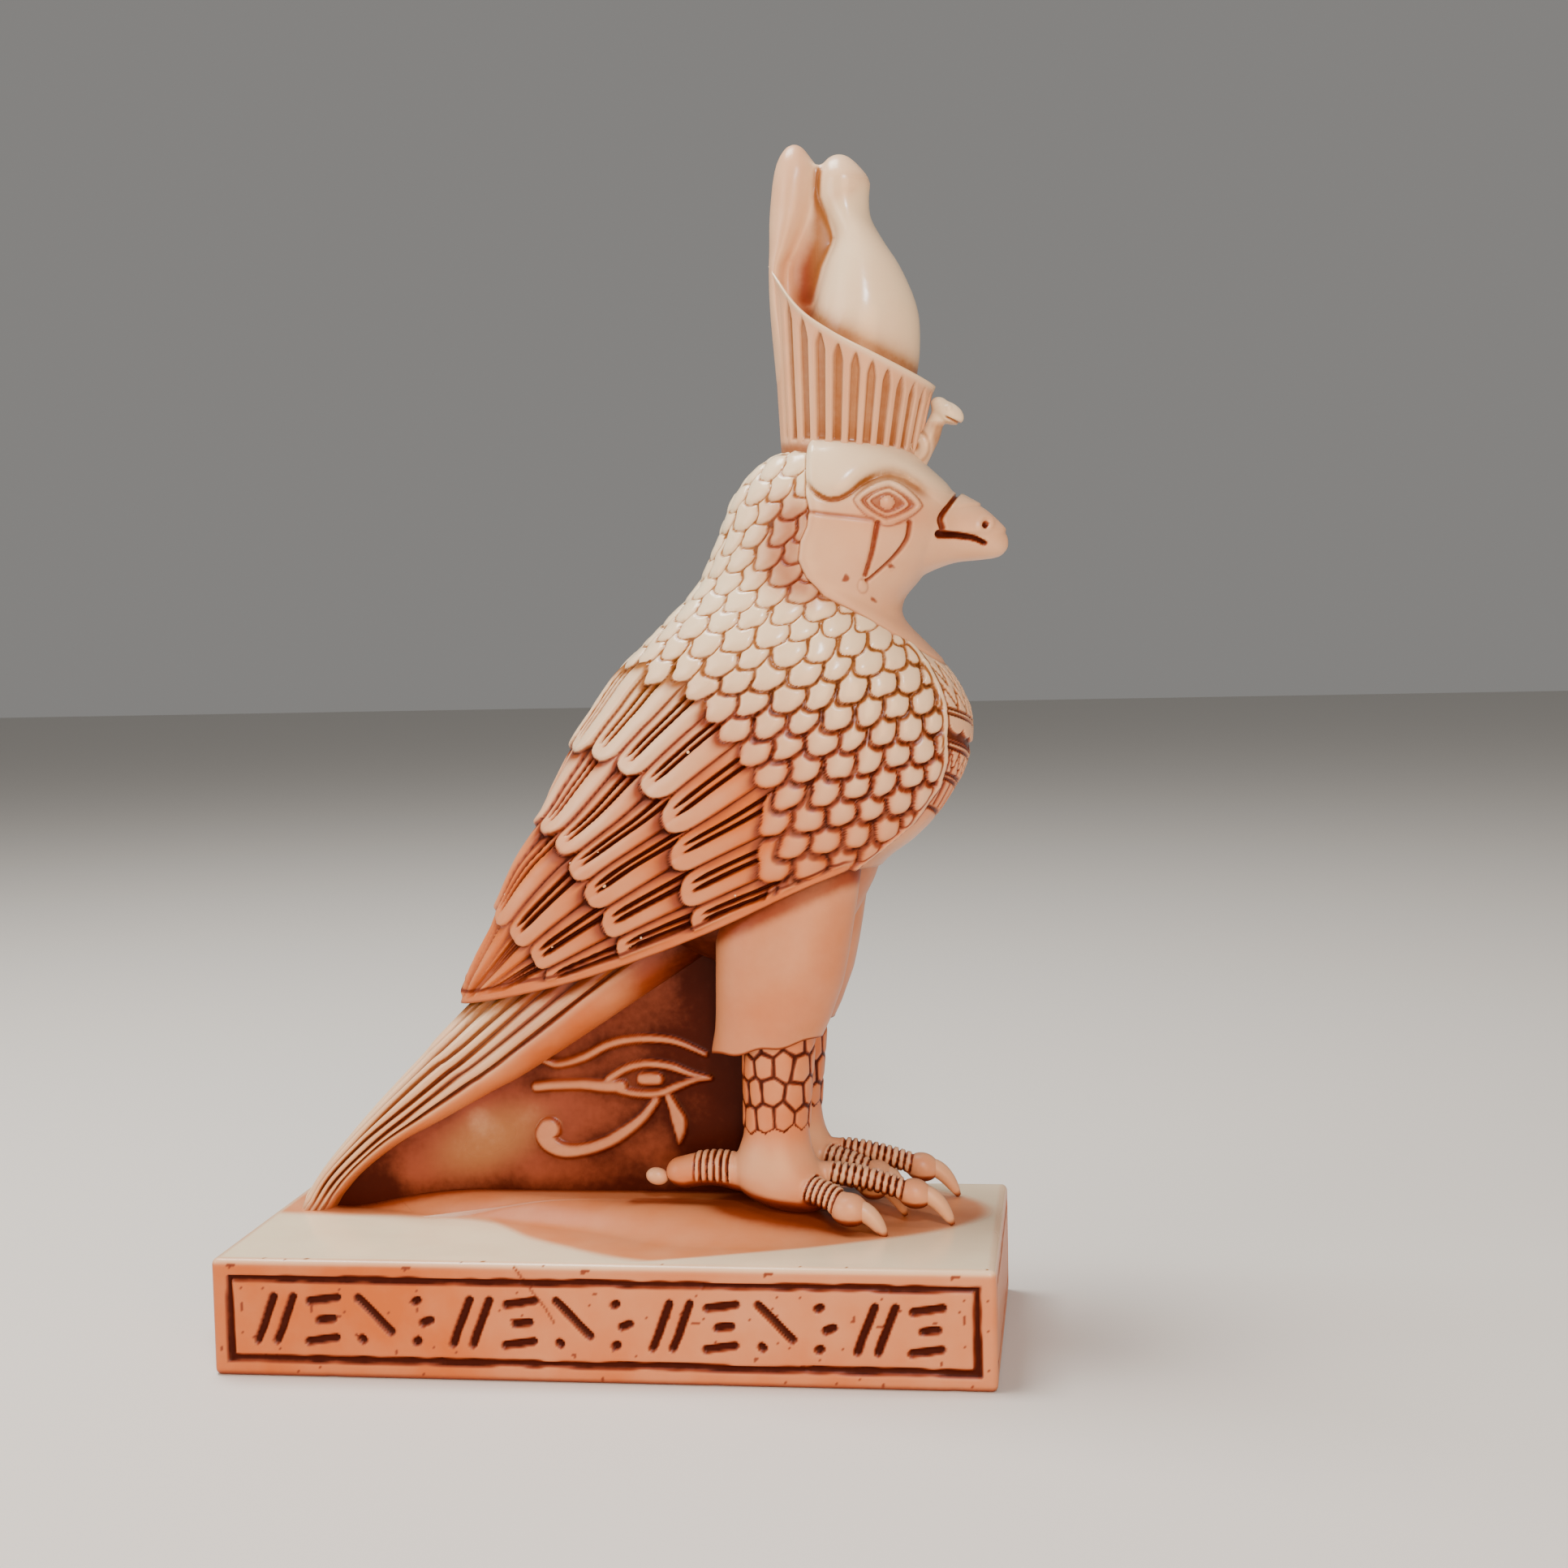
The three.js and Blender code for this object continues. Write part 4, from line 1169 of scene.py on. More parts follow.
    def skins(self) -> dict[str, Skin]:
        """The carved skin of each side, with the same normals where they meet.

        Returns:
            The skins by name.
        """
        points, girth = self.base()
        lift, wash, film = (there_and_back(part) for part in self.carving(points, girth))
        both = np.concatenate([points, (points * [1, -1, 1])[:, -2:0:-1]], 1)
        wander = 0.09 * noise(both, 5.0, 11) + 0.05 * noise(both, 1.6, 12)
        carved = both + grid_normals(both, True) * (lift + wander)[..., None]
        under_face = self.border.inside(both[..., 0], both[..., 2]) > self.face_overlap
        rim = np.stack([self._tucked(both[0], inset, rise) for inset, rise in self.tuck])
        carved = np.concatenate([rim, carved])
        # Painted shade, with glaze: the drawn-in rows under the wings' lower edge are washed dark, and the
        # first rows above them a little.
        lift, wash, film, under_face = (
            np.pad(part, ((len(rim), 0), (0, 0)), constant_values=in_rim)
            for part, in_rim in ((lift, 0.0), (wash, 0.95), (film, 0.0), (under_face, False))
        )
        first_rows = slice(len(rim), len(rim) + 2)
        wash[first_rows] = np.maximum(wash[first_rows], 0.3)
        normals, level = grid_normals(carved, True), carved[..., 2]
        # Partly painted light: the warm film is thick low down and thin high up, standing for warm light on
        # the lower body and light from above on its top as well as the glaze; raised places are wiped
        # paler.
        tone = 0.95 - 0.85 * ramp(level, 57, 103)
        tone = tone * (1 - (0.15 + 0.3 * ramp(level, 55, 80)) * ramp(lift, 0.35, 1.0)) + film
        made = {}
        for side in Side:
            first = 0 if side is Side.RIGHT else self.columns
            pick = np.arange(first, first + self.columns + 1) % (2 * self.columns)
            own_points, own_normals = (grid[:, pick].reshape(-1, 3) for grid in (carved, normals))
            own_wash, own_tone, hidden = (grid[:, pick].ravel() for grid in (wash, tone, under_face))
            faces = grid_faces(len(carved), len(pick), False)
            skin = Skin(own_points, faces, own_wash, own_tone, own_normals)
            made[f"body_{side.name.lower()}"] = trimmed(skin, hidden)
        return made

    def _tucked(self, ring: Array, inset: float, rise: float) -> Array:
        """The wings' lower edge, drawn in.

        Args:
            ring: The edge's points.
            inset: How far it is drawn towards the middle.
            rise: How far it is drawn up.

        Returns:
            The moved points.
        """
        centre = np.array([ring[:, 0].mean(), 0, 0])
        span = np.array([np.ptp(ring[:, 0]), np.ptp(ring[:, 1])]) / 2
        return ring - (ring - centre) * [*(inset / span), 0] + [0, 0, rise]


# Head


@dataclass(frozen=True)
class Head:
    """Smooth head with the beak: brow ridge, ringed eye, the drop under it, mouth and nostril."""

    border: FaceBorder = FaceBorder()
    beak: Stations = Stations(
        names=("low", "high", "half"),
        rows=(
            (44, 103.5, 122.2, 11.5), (49, 106.0, 122.4, 9.6), (52.6, 107.7, 121.7, 7.4),
            (56.2, 108.8, 119.2, 5.2), (60.7, 109.2, 116.5, 3.6), (63.4, 109.7, 113.9, 2.3),
            (64.5, 110.8, 112.4, 0.9),
        ),
    )
    voxel: float = 0.27
    scale_overlap: float = 2.2
    brow_edge: Path = (
        (33.2, 124.6), (33.3, 122.6), (33.9, 121.2), (35.2, 119.8), (37.0, 118.9), (38.6, 119.0),
        (40.3, 119.9), (42.0, 121.3), (44.0, 122.4), (46.2, 122.8), (48.6, 122.2), (51.0, 120.7),
        (53.3, 118.8), (55.2, 117.0),
    )
    eye: tuple[float, float] = (46.1, 118.0)
    eye_tilt: float = -0.1
    outer_ring: tuple[float, float] = (4.6, 3.0)
    inner_ring: tuple[float, float] = (3.0, 1.9)
    mouth: Path = ((53.9, 113.0), (56.6, 112.8), (59.4, 112.3), (61.1, 111.5))
    cere: Path = ((54.3, 114.0), (54.0, 115.5), (55.2, 117.4), (56.8, 119.4))
    nostril: tuple[float, float] = (61.0, 114.2)
    channels: tuple[Path, ...] = (
        ((44.5, 114.8), (43.5, 110.4), (42.2, 106.6)),
        ((49.4, 114.8), (48.8, 112.2), (46.8, 109.6), (43.9, 107.0), (42.4, 105.8)),
    )
    bead: tuple[float, float] = (41.7, 104.9)
    scuffs: Path = ((46.2, 108.0), (43.2, 102.8), (39.2, 106.2))
    cheek_top: Path = ((33.0, 116.7), (37.0, 116.1), (41.0, 115.6), (44.4, 115.1))

    def base(self) -> tuple[Array, Array]:
        """The plain head and beak as one skin.

        Returns:
            The points and the four-sided faces.
        """
        along = np.linspace(self.beak.places[0], self.beak.places[-1], 60)[:, None]
        turn = full_turn(64)[None, :]
        low, high, half = self.beak.all_at(along)
        y = half * signed_power(np.sin(turn), 0.9)
        level = (low + high) / 2 + (high - low) / 2 * np.cos(turn)
        beak = np.stack(np.broadcast_arrays(along, y, level), -1)
        forms = [ring_stack(BODY_FORM.rings(160, 90, low=86)), ring_stack(beak)]
        return fuse(forms, self.voxel, 9)

    def carving(self, points: Array) -> tuple[Array, Array]:
        """The carving's lift and wash, seen from the side.

        Args:
            points: The plain skin's points.

        Returns:
            The lift and the wash.
        """
        x, level = points[:, 0], points[:, 2]
        inside = self.border.inside(x, level)
        lift = 0.35 - 2.0 * (1 - ramp(inside, -0.9, 0.25)) + 0.25 * hump(inside - 0.9, 0.9)
        wash = 0.38 * (1 - ramp(inside, -0.3, 0.4))
        for part in (self._brow, self._eye, self._drop, self._beak_lines, self._cheek):
            add_lift, add_wash = part(x, level)
            lift, wash = lift + add_lift, np.maximum(wash, add_wash)
        on_side = ramp(np.abs(points[:, 1]), 4, 6)
        for scuff_x, scuff_level in self.scuffs:
            away = np.hypot(x - scuff_x, level - scuff_level) + 0.35 * noise(points, 0.7, 21)
            wash = np.maximum(wash, 0.5 * (1 - ramp(away, 0.25, 0.75)) * on_side)
        return lift, wash

    def _brow(self, x: Array, level: Array) -> tuple[Array, Array]:
        """The brow ridge with its crease.

        Args:
            x: The points' x.
            level: Their levels.

        Returns:
            The lift and the wash.
        """
        distance, share = curve_distance(x, level, self.brow_edge)
        above = (level > second_at(self.brow_edge[1:], x)) & (x > self.brow_edge[0][0])
        signed = np.where(above, distance, -distance)
        ridge = round_edge((signed + 0.2) / 2.6) * (1 - 0.75 * ramp(x, 46, 55)) * ramp(x, 32.6, 34.5)
        crease = groove(signed + 0.25, 0.42) * window(share, (0.05, 0.2), (0.5, 0.62))
        soft = np.exp(-((signed + 0.6) ** 2) / 1.2) * window(share, (0.35, 0.5), (0.8, 0.95))
        return 1.35 * ridge - 0.45 * crease - 0.3 * soft, np.maximum(0.55 * crease, 0.42 * soft)

    def _eye(self, x: Array, level: Array) -> tuple[Array, Array]:
        """Outer ring, inner ring and pupil.

        Args:
            x: The points' x.
            level: Their levels.

        Returns:
            The lift and the wash.
        """
        du, dv = x - self.eye[0], level - self.eye[1]
        cos, sin = math.cos(self.eye_tilt), math.sin(self.eye_tilt)
        u, v = du * cos + dv * sin, dv * cos - du * sin
        away = np.hypot(u, v)

        def rim(long: float, high: float) -> Array:
            """How far inside an almond of that half length and half height."""
            rho = (np.abs(u / long) ** 1.35 + np.abs(v / high) ** 1.35) ** (1 / 1.35)
            return away * (1 / np.maximum(rho, 1e-3) - 1)

        outer, inner = rim(*self.outer_ring), rim(*self.inner_ring)
        inner_line, well = hump(inner, 0.26, 4), ramp(outer, 0.2, 0.6)
        pupil = round_top(away / 1.1)
        lift = 0.5 * hump(outer, 0.42, 4) + 0.42 * inner_line - 0.3 * well + 0.6 * pupil
        wash = 0.42 * well * (1 - 0.85 * inner_line) * (1 - 0.95 * (pupil > 0.25))
        return lift, np.maximum(wash, 0.38 * hump(outer + 0.72, 0.26))

    def _drop(self, x: Array, level: Array) -> tuple[Array, Array]:
        """Two channels that meet below the eye, with the raised drop between them.

        Args:
            x: The points' x.
            level: Their levels.

        Returns:
            The lift and the wash.
        """
        cut = np.zeros(x.shape)
        for channel in self.channels:
            distance, share = curve_distance(x, level, channel)
            width = 0.42 + 0.08 * np.cos(share * np.pi)
            cut = np.maximum(cut, 1 - ramp(distance / width, 0.5, 1.3))
        left, right = (first_at(channel, level) for channel in self.channels)
        between = (x > left) & (x < right) & (level > 106) & (level < 114.8)
        bead = np.hypot(x - self.bead[0], (level - self.bead[1]) * 0.7)
        lift = -0.5 * cut + np.where(between, 0.35, 0) + 0.35 * round_top(bead / 0.75)
        return lift, np.maximum(0.52 * cut, 0.25 * hump(bead - 0.8, 0.2))

    def _cheek(self, x: Array, level: Array) -> tuple[Array, Array]:
        """The cheek's raised plate, with its upper edge between the face's border and the drop.

        Args:
            x: The points' x.
            level: Their levels.

        Returns:
            The lift and the wash.
        """
        over = level - second_at(self.cheek_top, x)
        beside = x - first_at(self.channels[0], level)
        plate = ramp(-over, -0.1, 0.5) * (1 - ramp(beside, -0.9, -0.2)) * ramp(level, 104, 108)
        return 0.3 * plate, 0.42 * hump(over - 0.25, 0.45) * (1 - ramp(x, 43.6, 44.6))

    def _beak_lines(self, x: Array, level: Array) -> tuple[Array, Array]:
        """Mouth, the step at the beak's root, and the nostril.

        Args:
            x: The points' x.
            level: Their levels.

        Returns:
            The lift and the wash.
        """
        mouth, share = curve_distance(x, level, self.mouth)
        mouth_cut = 1 - ramp(mouth / (0.68 - 0.28 * share), 0.6, 1.25)
        root_cut = groove(curve_distance(x, level, self.cere)[0], 0.42)
        upper = ramp(x - first_at(self.cere, level), 0.0, 0.6) * ramp(level, 112.8, 113.4)
        nostril = np.hypot(x - self.nostril[0], (level - self.nostril[1]) * 0.9)
        hole = 1 - ramp(nostril, 0.3, 0.62)
        lift = -0.8 * mouth_cut - 0.5 * root_cut + 0.5 * upper - 0.6 * hole
        lift = lift + 0.2 * hump(nostril - 0.95, 0.28)
        return lift, np.maximum.reduce([1.05 * mouth_cut, 0.8 * root_cut, 0.9 * hole])

    def skins(self) -> dict[str, Skin]:
        """The head's skin.

        Returns:
            The skin by name.
        """
        points, faces = self.base()
        lift, wash = self.carving(points)
        carved = points + mesh_normals(points, faces) * (lift + 0.05 * noise(points, 4.0, 31))[:, None]
        x, level = carved[:, 0], carved[:, 2]
        by_eye = hump(x - self.eye[0], 6) * hump(level - self.eye[1], 4)
        # Partly painted light: the face is paler towards its top, where light from above falls, as well as
        # where glaze is wiped off.
        tone = 0.56 - 0.44 * ramp(level, 115, 123) + 0.3 * (wash > 0.7) + 0.24 * by_eye
        under_scales = self.border.inside(points[:, 0], points[:, 2]) < -self.scale_overlap
        return {"head": trimmed(Skin(carved, faces.tolist(), wash, tone), under_scales)}


# Crown


@dataclass(frozen=True)
class Crown:
    """Red crown with flutes and a tall blade, the white crown standing in it, and the cobra."""

    bowl: Stations = Stations(
        (
            (0, 27.9, 49.4, 10.6), (0.12, 27.7, 50, 10.9), (0.9, 26.7, 52.8, 12.4), (1, 26.6, 53.1, 12.5),
        ),
    )
    base_back: float = 125.6
    base_front: float = 122.5
    rim: Path = ((26.5, 158), (32, 150), (37.5, 145.6), (44, 142), (53, 137.4))
    flutes: int = 28
    flute_depth: float = 0.75
    bowl_rows: int = 54
    wall: float = 1.5
    hollow: float = 3.6
    tall_voxel: float = 0.42
    cobra_voxel: float = 0.22
    hidden_depth: float = 5.0
    lip_drops: tuple[float, ...] = (0.35, 0.75, 1.1, 1.5, 1.9, 2.1, 2.2, 2.4)
    blade: LevelForm = LevelForm(
        Stations(
            (
                (138, 27.3, 34.5, 6.6), (150, 26.5, 30.0, 5.7), (156.7, 26.4, 29.4, 5.4),
                (160, 26.5, 31.1, 5.3), (165, 26.6, 33.5, 5.1), (170, 27.1, 34.5, 4.8),
                (173, 27.6, 34.8, 4.3), (175.2, 28.4, 33.5, 3.4), (177, 29.7, 32.1, 1.6),
                (177.4, 30.6, 31.2, 0.4),
            ),
        )
    )
    bulb: LevelForm = LevelForm(
        Stations(
            (
                (126, 32, 47, 7.6), (140, 30.4, 50.5, 10.1), (146.5, 31.8, 51, 10.5), (151, 33.6, 50.4, 10),
                (157, 35.4, 47.9, 8.5), (161.5, 37.3, 45.1, 6.8), (165, 36.2, 43.3, 5.6),
                (168.2, 34.6, 43.0, 5.2), (171, 34.6, 43.2, 5.3), (173.2, 35.2, 41.7, 4.1),
                (175, 36.6, 39.8, 2.0), (175.5, 37.8, 38.6, 0.4),
            ),
        )
    )
    filler: LevelForm = LevelForm(
        Stations(((136, 29, 42, 4.4), (155, 28, 41, 3.6), (173.6, 31, 38, 2.2)))
    )
    cobra_neck: Path = ((48.8, 123.8), (50.6, 126.6), (52.3, 129.2), (53.2, 131.2), (54.2, 132.9))
    hollow_left: Path = ((30.0, 150), (29.4, 156.7), (31.1, 160), (33.5, 165), (34.0, 170), (34.3, 174))
    hollow_right: Path = ((33.6, 150), (35.4, 157), (37.3, 161.5), (36.4, 165), (35.2, 168.2), (35.6, 174))

    def _bowl_point(self, turn: Array, share: Array, inset: float) -> Array:
        """Points of the bowl's wall.

        Args:
            turn: Turns round the bowl, 0 at the back.
            share: Shares of the wall's height.
            inset: How far the points are drawn in.

        Returns:
            Rows of x, y and level.
        """
        turn, share = np.broadcast_arrays(turn, share)
        back, front, half = self.bowl.all_at(share)
        x = (back + front) / 2 - ((front - back) / 2 - inset) * np.cos(turn)
        y = -(half - inset) * np.sin(turn)
        base = self.base_back + (self.base_front - self.base_back) * ((x - back) / (front - back))
        top = spline(*zip(*self.rim), x)
        return np.stack([x, y, base + (top - base) * share], -1)

    def bowl_skin(self) -> Skin:
        """The fluted bowl, with its lip and the hollow behind it.

        Returns:
            The skin.
        """
        turn = full_turn(16 * self.flutes)[None, :]
        share = np.linspace(0, 1, self.bowl_rows)[:, None]
        outer = self._bowl_point(turn, share, 0.0)
        run = outer[-1, :, 2] - outer[0, :, 2]
        to_rim, to_base = (1 - share) * run, share * run
        wave = zigzag(turn * self.flutes / (2 * np.pi) + 0.15 * np.sin(3 * turn))
        edge = 0.56 * np.clip((to_rim - 1.3) / 2.4, 0, 1) ** 0.6
        floor = (1 - ramp(wave, edge - 0.13, edge + 0.13)) * (to_rim > 1.3)
        floor = floor * ramp(to_base, 3.2, 4.4) * ramp(outer[..., 0], 28.2, 30.4)
        lip, foot = hump(to_rim, 0.9), 1 - ramp(to_base, 2.2, 4.6)
        outer = outer + grid_normals(outer, True) * (0.3 * lip - self.flute_depth * floor)[..., None]
        rows_in = []
        over = np.sin(np.linspace(0.4, np.pi, 4))
        for k, drop in enumerate(self.lip_drops):
            ring = self._bowl_point(turn, np.ones((1, 1)), min(drop, self.wall + 0.2))[0]
            fall = np.interp(drop, [0, 0.7, 1.5, 2.4], [0.0, 0.25, 0.4, self.hollow])
            rows_in.append(ring + [0, 0, 0.35 * over[min(k, 3)] - fall])
        points, faces = ring_stack(np.concatenate([outer, np.stack(rows_in)]))
        in_wash = np.interp(self.lip_drops, [0.3, 1.5, 2.4], [0, 0.1, 0.6])[:, None]
        # Partly painted shade: the bowl's foot, where it sits on the head, is washed darker.
        wash = np.maximum(0.58 * floor * (0.75 + 0.25 * ramp(to_base, 8, 3)), 0.4 * foot)
        wash = np.concatenate([wash, np.repeat(in_wash, turn.size, 1)])
        tone = 0.6 - 0.45 * lip - 0.25 * floor - 0.15 * foot
        tone = np.concatenate([tone, np.full((len(self.lip_drops), turn.size), 0.5)])
        return Skin(points, faces[:-1], wash.ravel(), tone.ravel())

    def tall_skin(self) -> Skin:
        """Blade and bulb, softly joined.

        Returns:
            The skin.
        """
        forms = [ring_stack(form.rings(96, 90)) for form in (self.blade, self.bulb, self.filler)]
        points, faces = fuse(forms, self.tall_voxel, 5)
        x, _, level = points.T
        left, right = first_at(self.hollow_left, level), first_at(self.hollow_right, level)
        sunk = window(level, (149, 152), (172, 174.5))
        sunk = sunk * ramp(x - left, -1.4, 0.9) * (1 - ramp(x - right, -0.6, 0.9))
        neck = hump(level - 167.6 - 0.32 * (x - 37), 1.3) * window(x, (36.2, 37.5), (40.5, 43))
        rim_level = spline(*zip(*self.rim), np.clip(x, 27, 53))
        by_rim = fading(level - rim_level - 1.2, 2.8) * ramp(x, 29.5, 33)
        sunk_wash = 0.66 * ramp(x, left - 1.0, right - 0.2) * sunk
        wash = np.maximum.reduce([sunk_wash, 0.1 * neck, 0.4 * by_rim])
        # Partly painted light: towards the back, on the blade that faces the warm light, the film is
        # thicker than on the bulb.
        tone = 0.14 + 0.08 * sunk + 0.36 * (1 - ramp(x, 32, 36)) + 0.16 * neck
        tone = tone + 0.2 * ramp(level, 168, 172) * ramp(x, 34.6, 36) + 0.14 * by_rim
        in_bowl = (x > 32) & (level < rim_level - self.hidden_depth)
        return trimmed(Skin(points, faces.tolist(), wash, tone), in_bowl)

    def cobra_skin(self) -> Skin:
        """The rearing cobra with its coil.

        Returns:
            The skin.
        """
        neck = curve_through(self.cobra_neck, 6)
        radii = np.interp(np.linspace(0, 1, len(neck)), [0, 0.4, 0.8, 1], [2.3, 1.75, 1.35, 1.5])
        rings = [ball((55.3, 0, 133.0), (2.9, 2.15, 1.75), 0.5)]
        rings.append(ball((54.0, 0, 134.4), (1.5, 1.6, 1.2), 0.3))
        rings.append(ball((49.6, 0, 127.4), (1.9, 3.6, 2.7), 0.2))
        forms = [ring_stack(form) for form in (limb([(x, 0, level) for x, level in neck], radii), *rings)]
        points, faces = fuse(forms, self.cobra_voxel, 4)
        x, y, level = points.T
        ring = np.hypot(x - 50.2, (level - 127.6) * 0.8)
        hollow = hump(ring, 0.75) * ramp(np.abs(y), 1.5, 2.6)
        mouth = groove(level - 132.2 + 0.5 * (x - 55), 0.22) * ramp(x, 54.6, 55.4)
        eye = round_top(np.hypot(x - 55.6, level - 133.7) / 0.55)
        under = ramp(level, 132.4, 130.6) * ramp(x, 51.8, 53.4)
        coil = 0.3 * hump(ring - 2.1, 0.4)
        wash = np.maximum.reduce([0.75 * hollow, 0.6 * mouth, 0.35 * under, coil])
        lift = 0.22 * eye - 0.5 * hollow - 0.25 * mouth
        carved = points + mesh_normals(points, faces) * lift[:, None]
        return Skin(carved, faces.tolist(), wash, np.where(level > 131.5, 0.1, 0.32))

    def skins(self) -> dict[str, Skin]:
        """The crown's skins by name."""
        skins = (self.bowl_skin(), self.tall_skin(), self.cobra_skin())
        return dict(zip(("red_crown_bowl", "crown_blade_and_bulb", "cobra"), skins))


# Tail, belly and web


@dataclass(frozen=True)
class Tail:
    """Tail with lengthwise grooves above a smooth band, from under the wings to the plinth."""

    stations: tuple[tuple[float, ...], ...] = (
        (4, 66, 24, 51, 8), (-30.3, 32.9, -14, 26.2, 7.2), (-36.2, 26.7, -24.6, 20.2, 7.2),
        (-43.8, 18.9, -33.5, 15.3, 6.8), (-49.6, 12.5, -41.2, 11.2, 6.3), (-55.2, 5.8, -48.6, 5.4, 5.7),
        (-59.4, -1, -53.6, -1, 5),
    )
    squareness: float = 0.75
    grooves: tuple[float, ...] = (0.08, 0.17, 0.26, 0.35, 0.44, 0.53, 0.62)
    rows: int = 116
    count: int = 184

    def skins(self) -> dict[str, Skin]:
        """The tail's skin.

        Returns:
            The skin by name.
        """
        where = np.linspace(0, len(self.stations) - 1, self.rows)
        top_x, top_level, low_x, low_level, half = (
            spline(range(len(self.stations)), column, where)[:, None] for column in zip(*self.stations)
        )
        turn = full_turn(self.count)[None, :]
        up, out = (signed_power(part, self.squareness) for part in (np.cos(turn), np.sin(turn)))
        x = (top_x + low_x) / 2 + (top_x - low_x) / 2 * up
        level = (top_level + low_level) / 2 + (top_level - low_level) / 2 * up
        base = np.stack([x, -half * out, level], -1)
        walked = run_lengths(base[:, : self.count // 2 + 1])
        girth = walked[:, -1:]
        share = there_and_back(walked / girth)
        half_width = np.clip(0.02 * girth, 0.24, 0.45)
        cut = np.zeros(share.shape)
        for place in self.grooves:
            wander = 0.01 * np.sin(where[:, None] * 1.3 + 40 * place)
            off = np.abs(share - place - wander) * girth / half_width
            cut = np.maximum(cut, 1 - ramp(off, 0.5, 1.3))
        between = np.cos(2 * np.pi * (share - self.grooves[0]) / (self.grooves[1] - self.grooves[0]))
        end = ramp(level, 5, 0)
        lift = 0.1 - 0.2 * between * (share < self.grooves[-1]) - 0.66 * cut * (1 - end)
        lift = lift + 0.04 * noise(base * [0.25, 1, 0.25], 1.2, 41) + 0.35 * noise(base, 2.6, 42) * end
        lower = ramp(share, 0.2, 0.5)
        # The third wash, darker towards the thigh, and the last one, close under the wings' lower edge, are
        # painted shade.
        washes = (
            (0.55 + 0.33 * lower) * cut * (1 - 0.5 * end),
            0.25 * ramp(level, 3, 0),
            0.16 * ramp(x, -34, -14) + 0.75 * ramp(x, -3, 12),
            0.55 * ramp(share, 0.93, 1.0),
            0.62 * shade_under_wing(x, level, 4.5),
        )
        tone = 0.3 + 0.22 * lower + 0.35 * ramp(share, 0.62, 0.7) + 0.1 * noise(base, 8.0, 43)
        points, faces = ring_stack(base - grid_normals(base, True) * lift[..., None])
        return {"tail": Skin(points, faces, np.maximum.reduce(washes).ravel(), tone.ravel())}


@dataclass(frozen=True)
class Belly:
    """The underside of the body between wings, thighs and web."""

    form: LevelForm = LevelForm(
        Stations(
            (
                (40, 19, 28, 3.5), (43, 14, 32.5, 7), (48, 2, 37, 11.5), (56, -10, 41.6, 14.6),
                (60, -10, 43.2, 15.6), (66, -9, 47, 16), (74, -6, 52, 16.6),
            ),
        )
    )

    def skins(self) -> dict[str, Skin]:
        """The belly's skin.

        Returns:
            The skin by name.
        """
        points, faces = ring_stack(self.form.rings(120, 50))
        # Painted shade: the belly is washed darker towards the back, between the thighs and under the
        # wings.
        wash = 0.26 + 0.65 * ramp(points[:, 0], 32, 18) + 0.05 * noise(points, 3.0, 51)
        return {"belly": Skin(points, faces, wash, 0.78 + 0.12 * ramp(points[:, 0], 34, 20))}


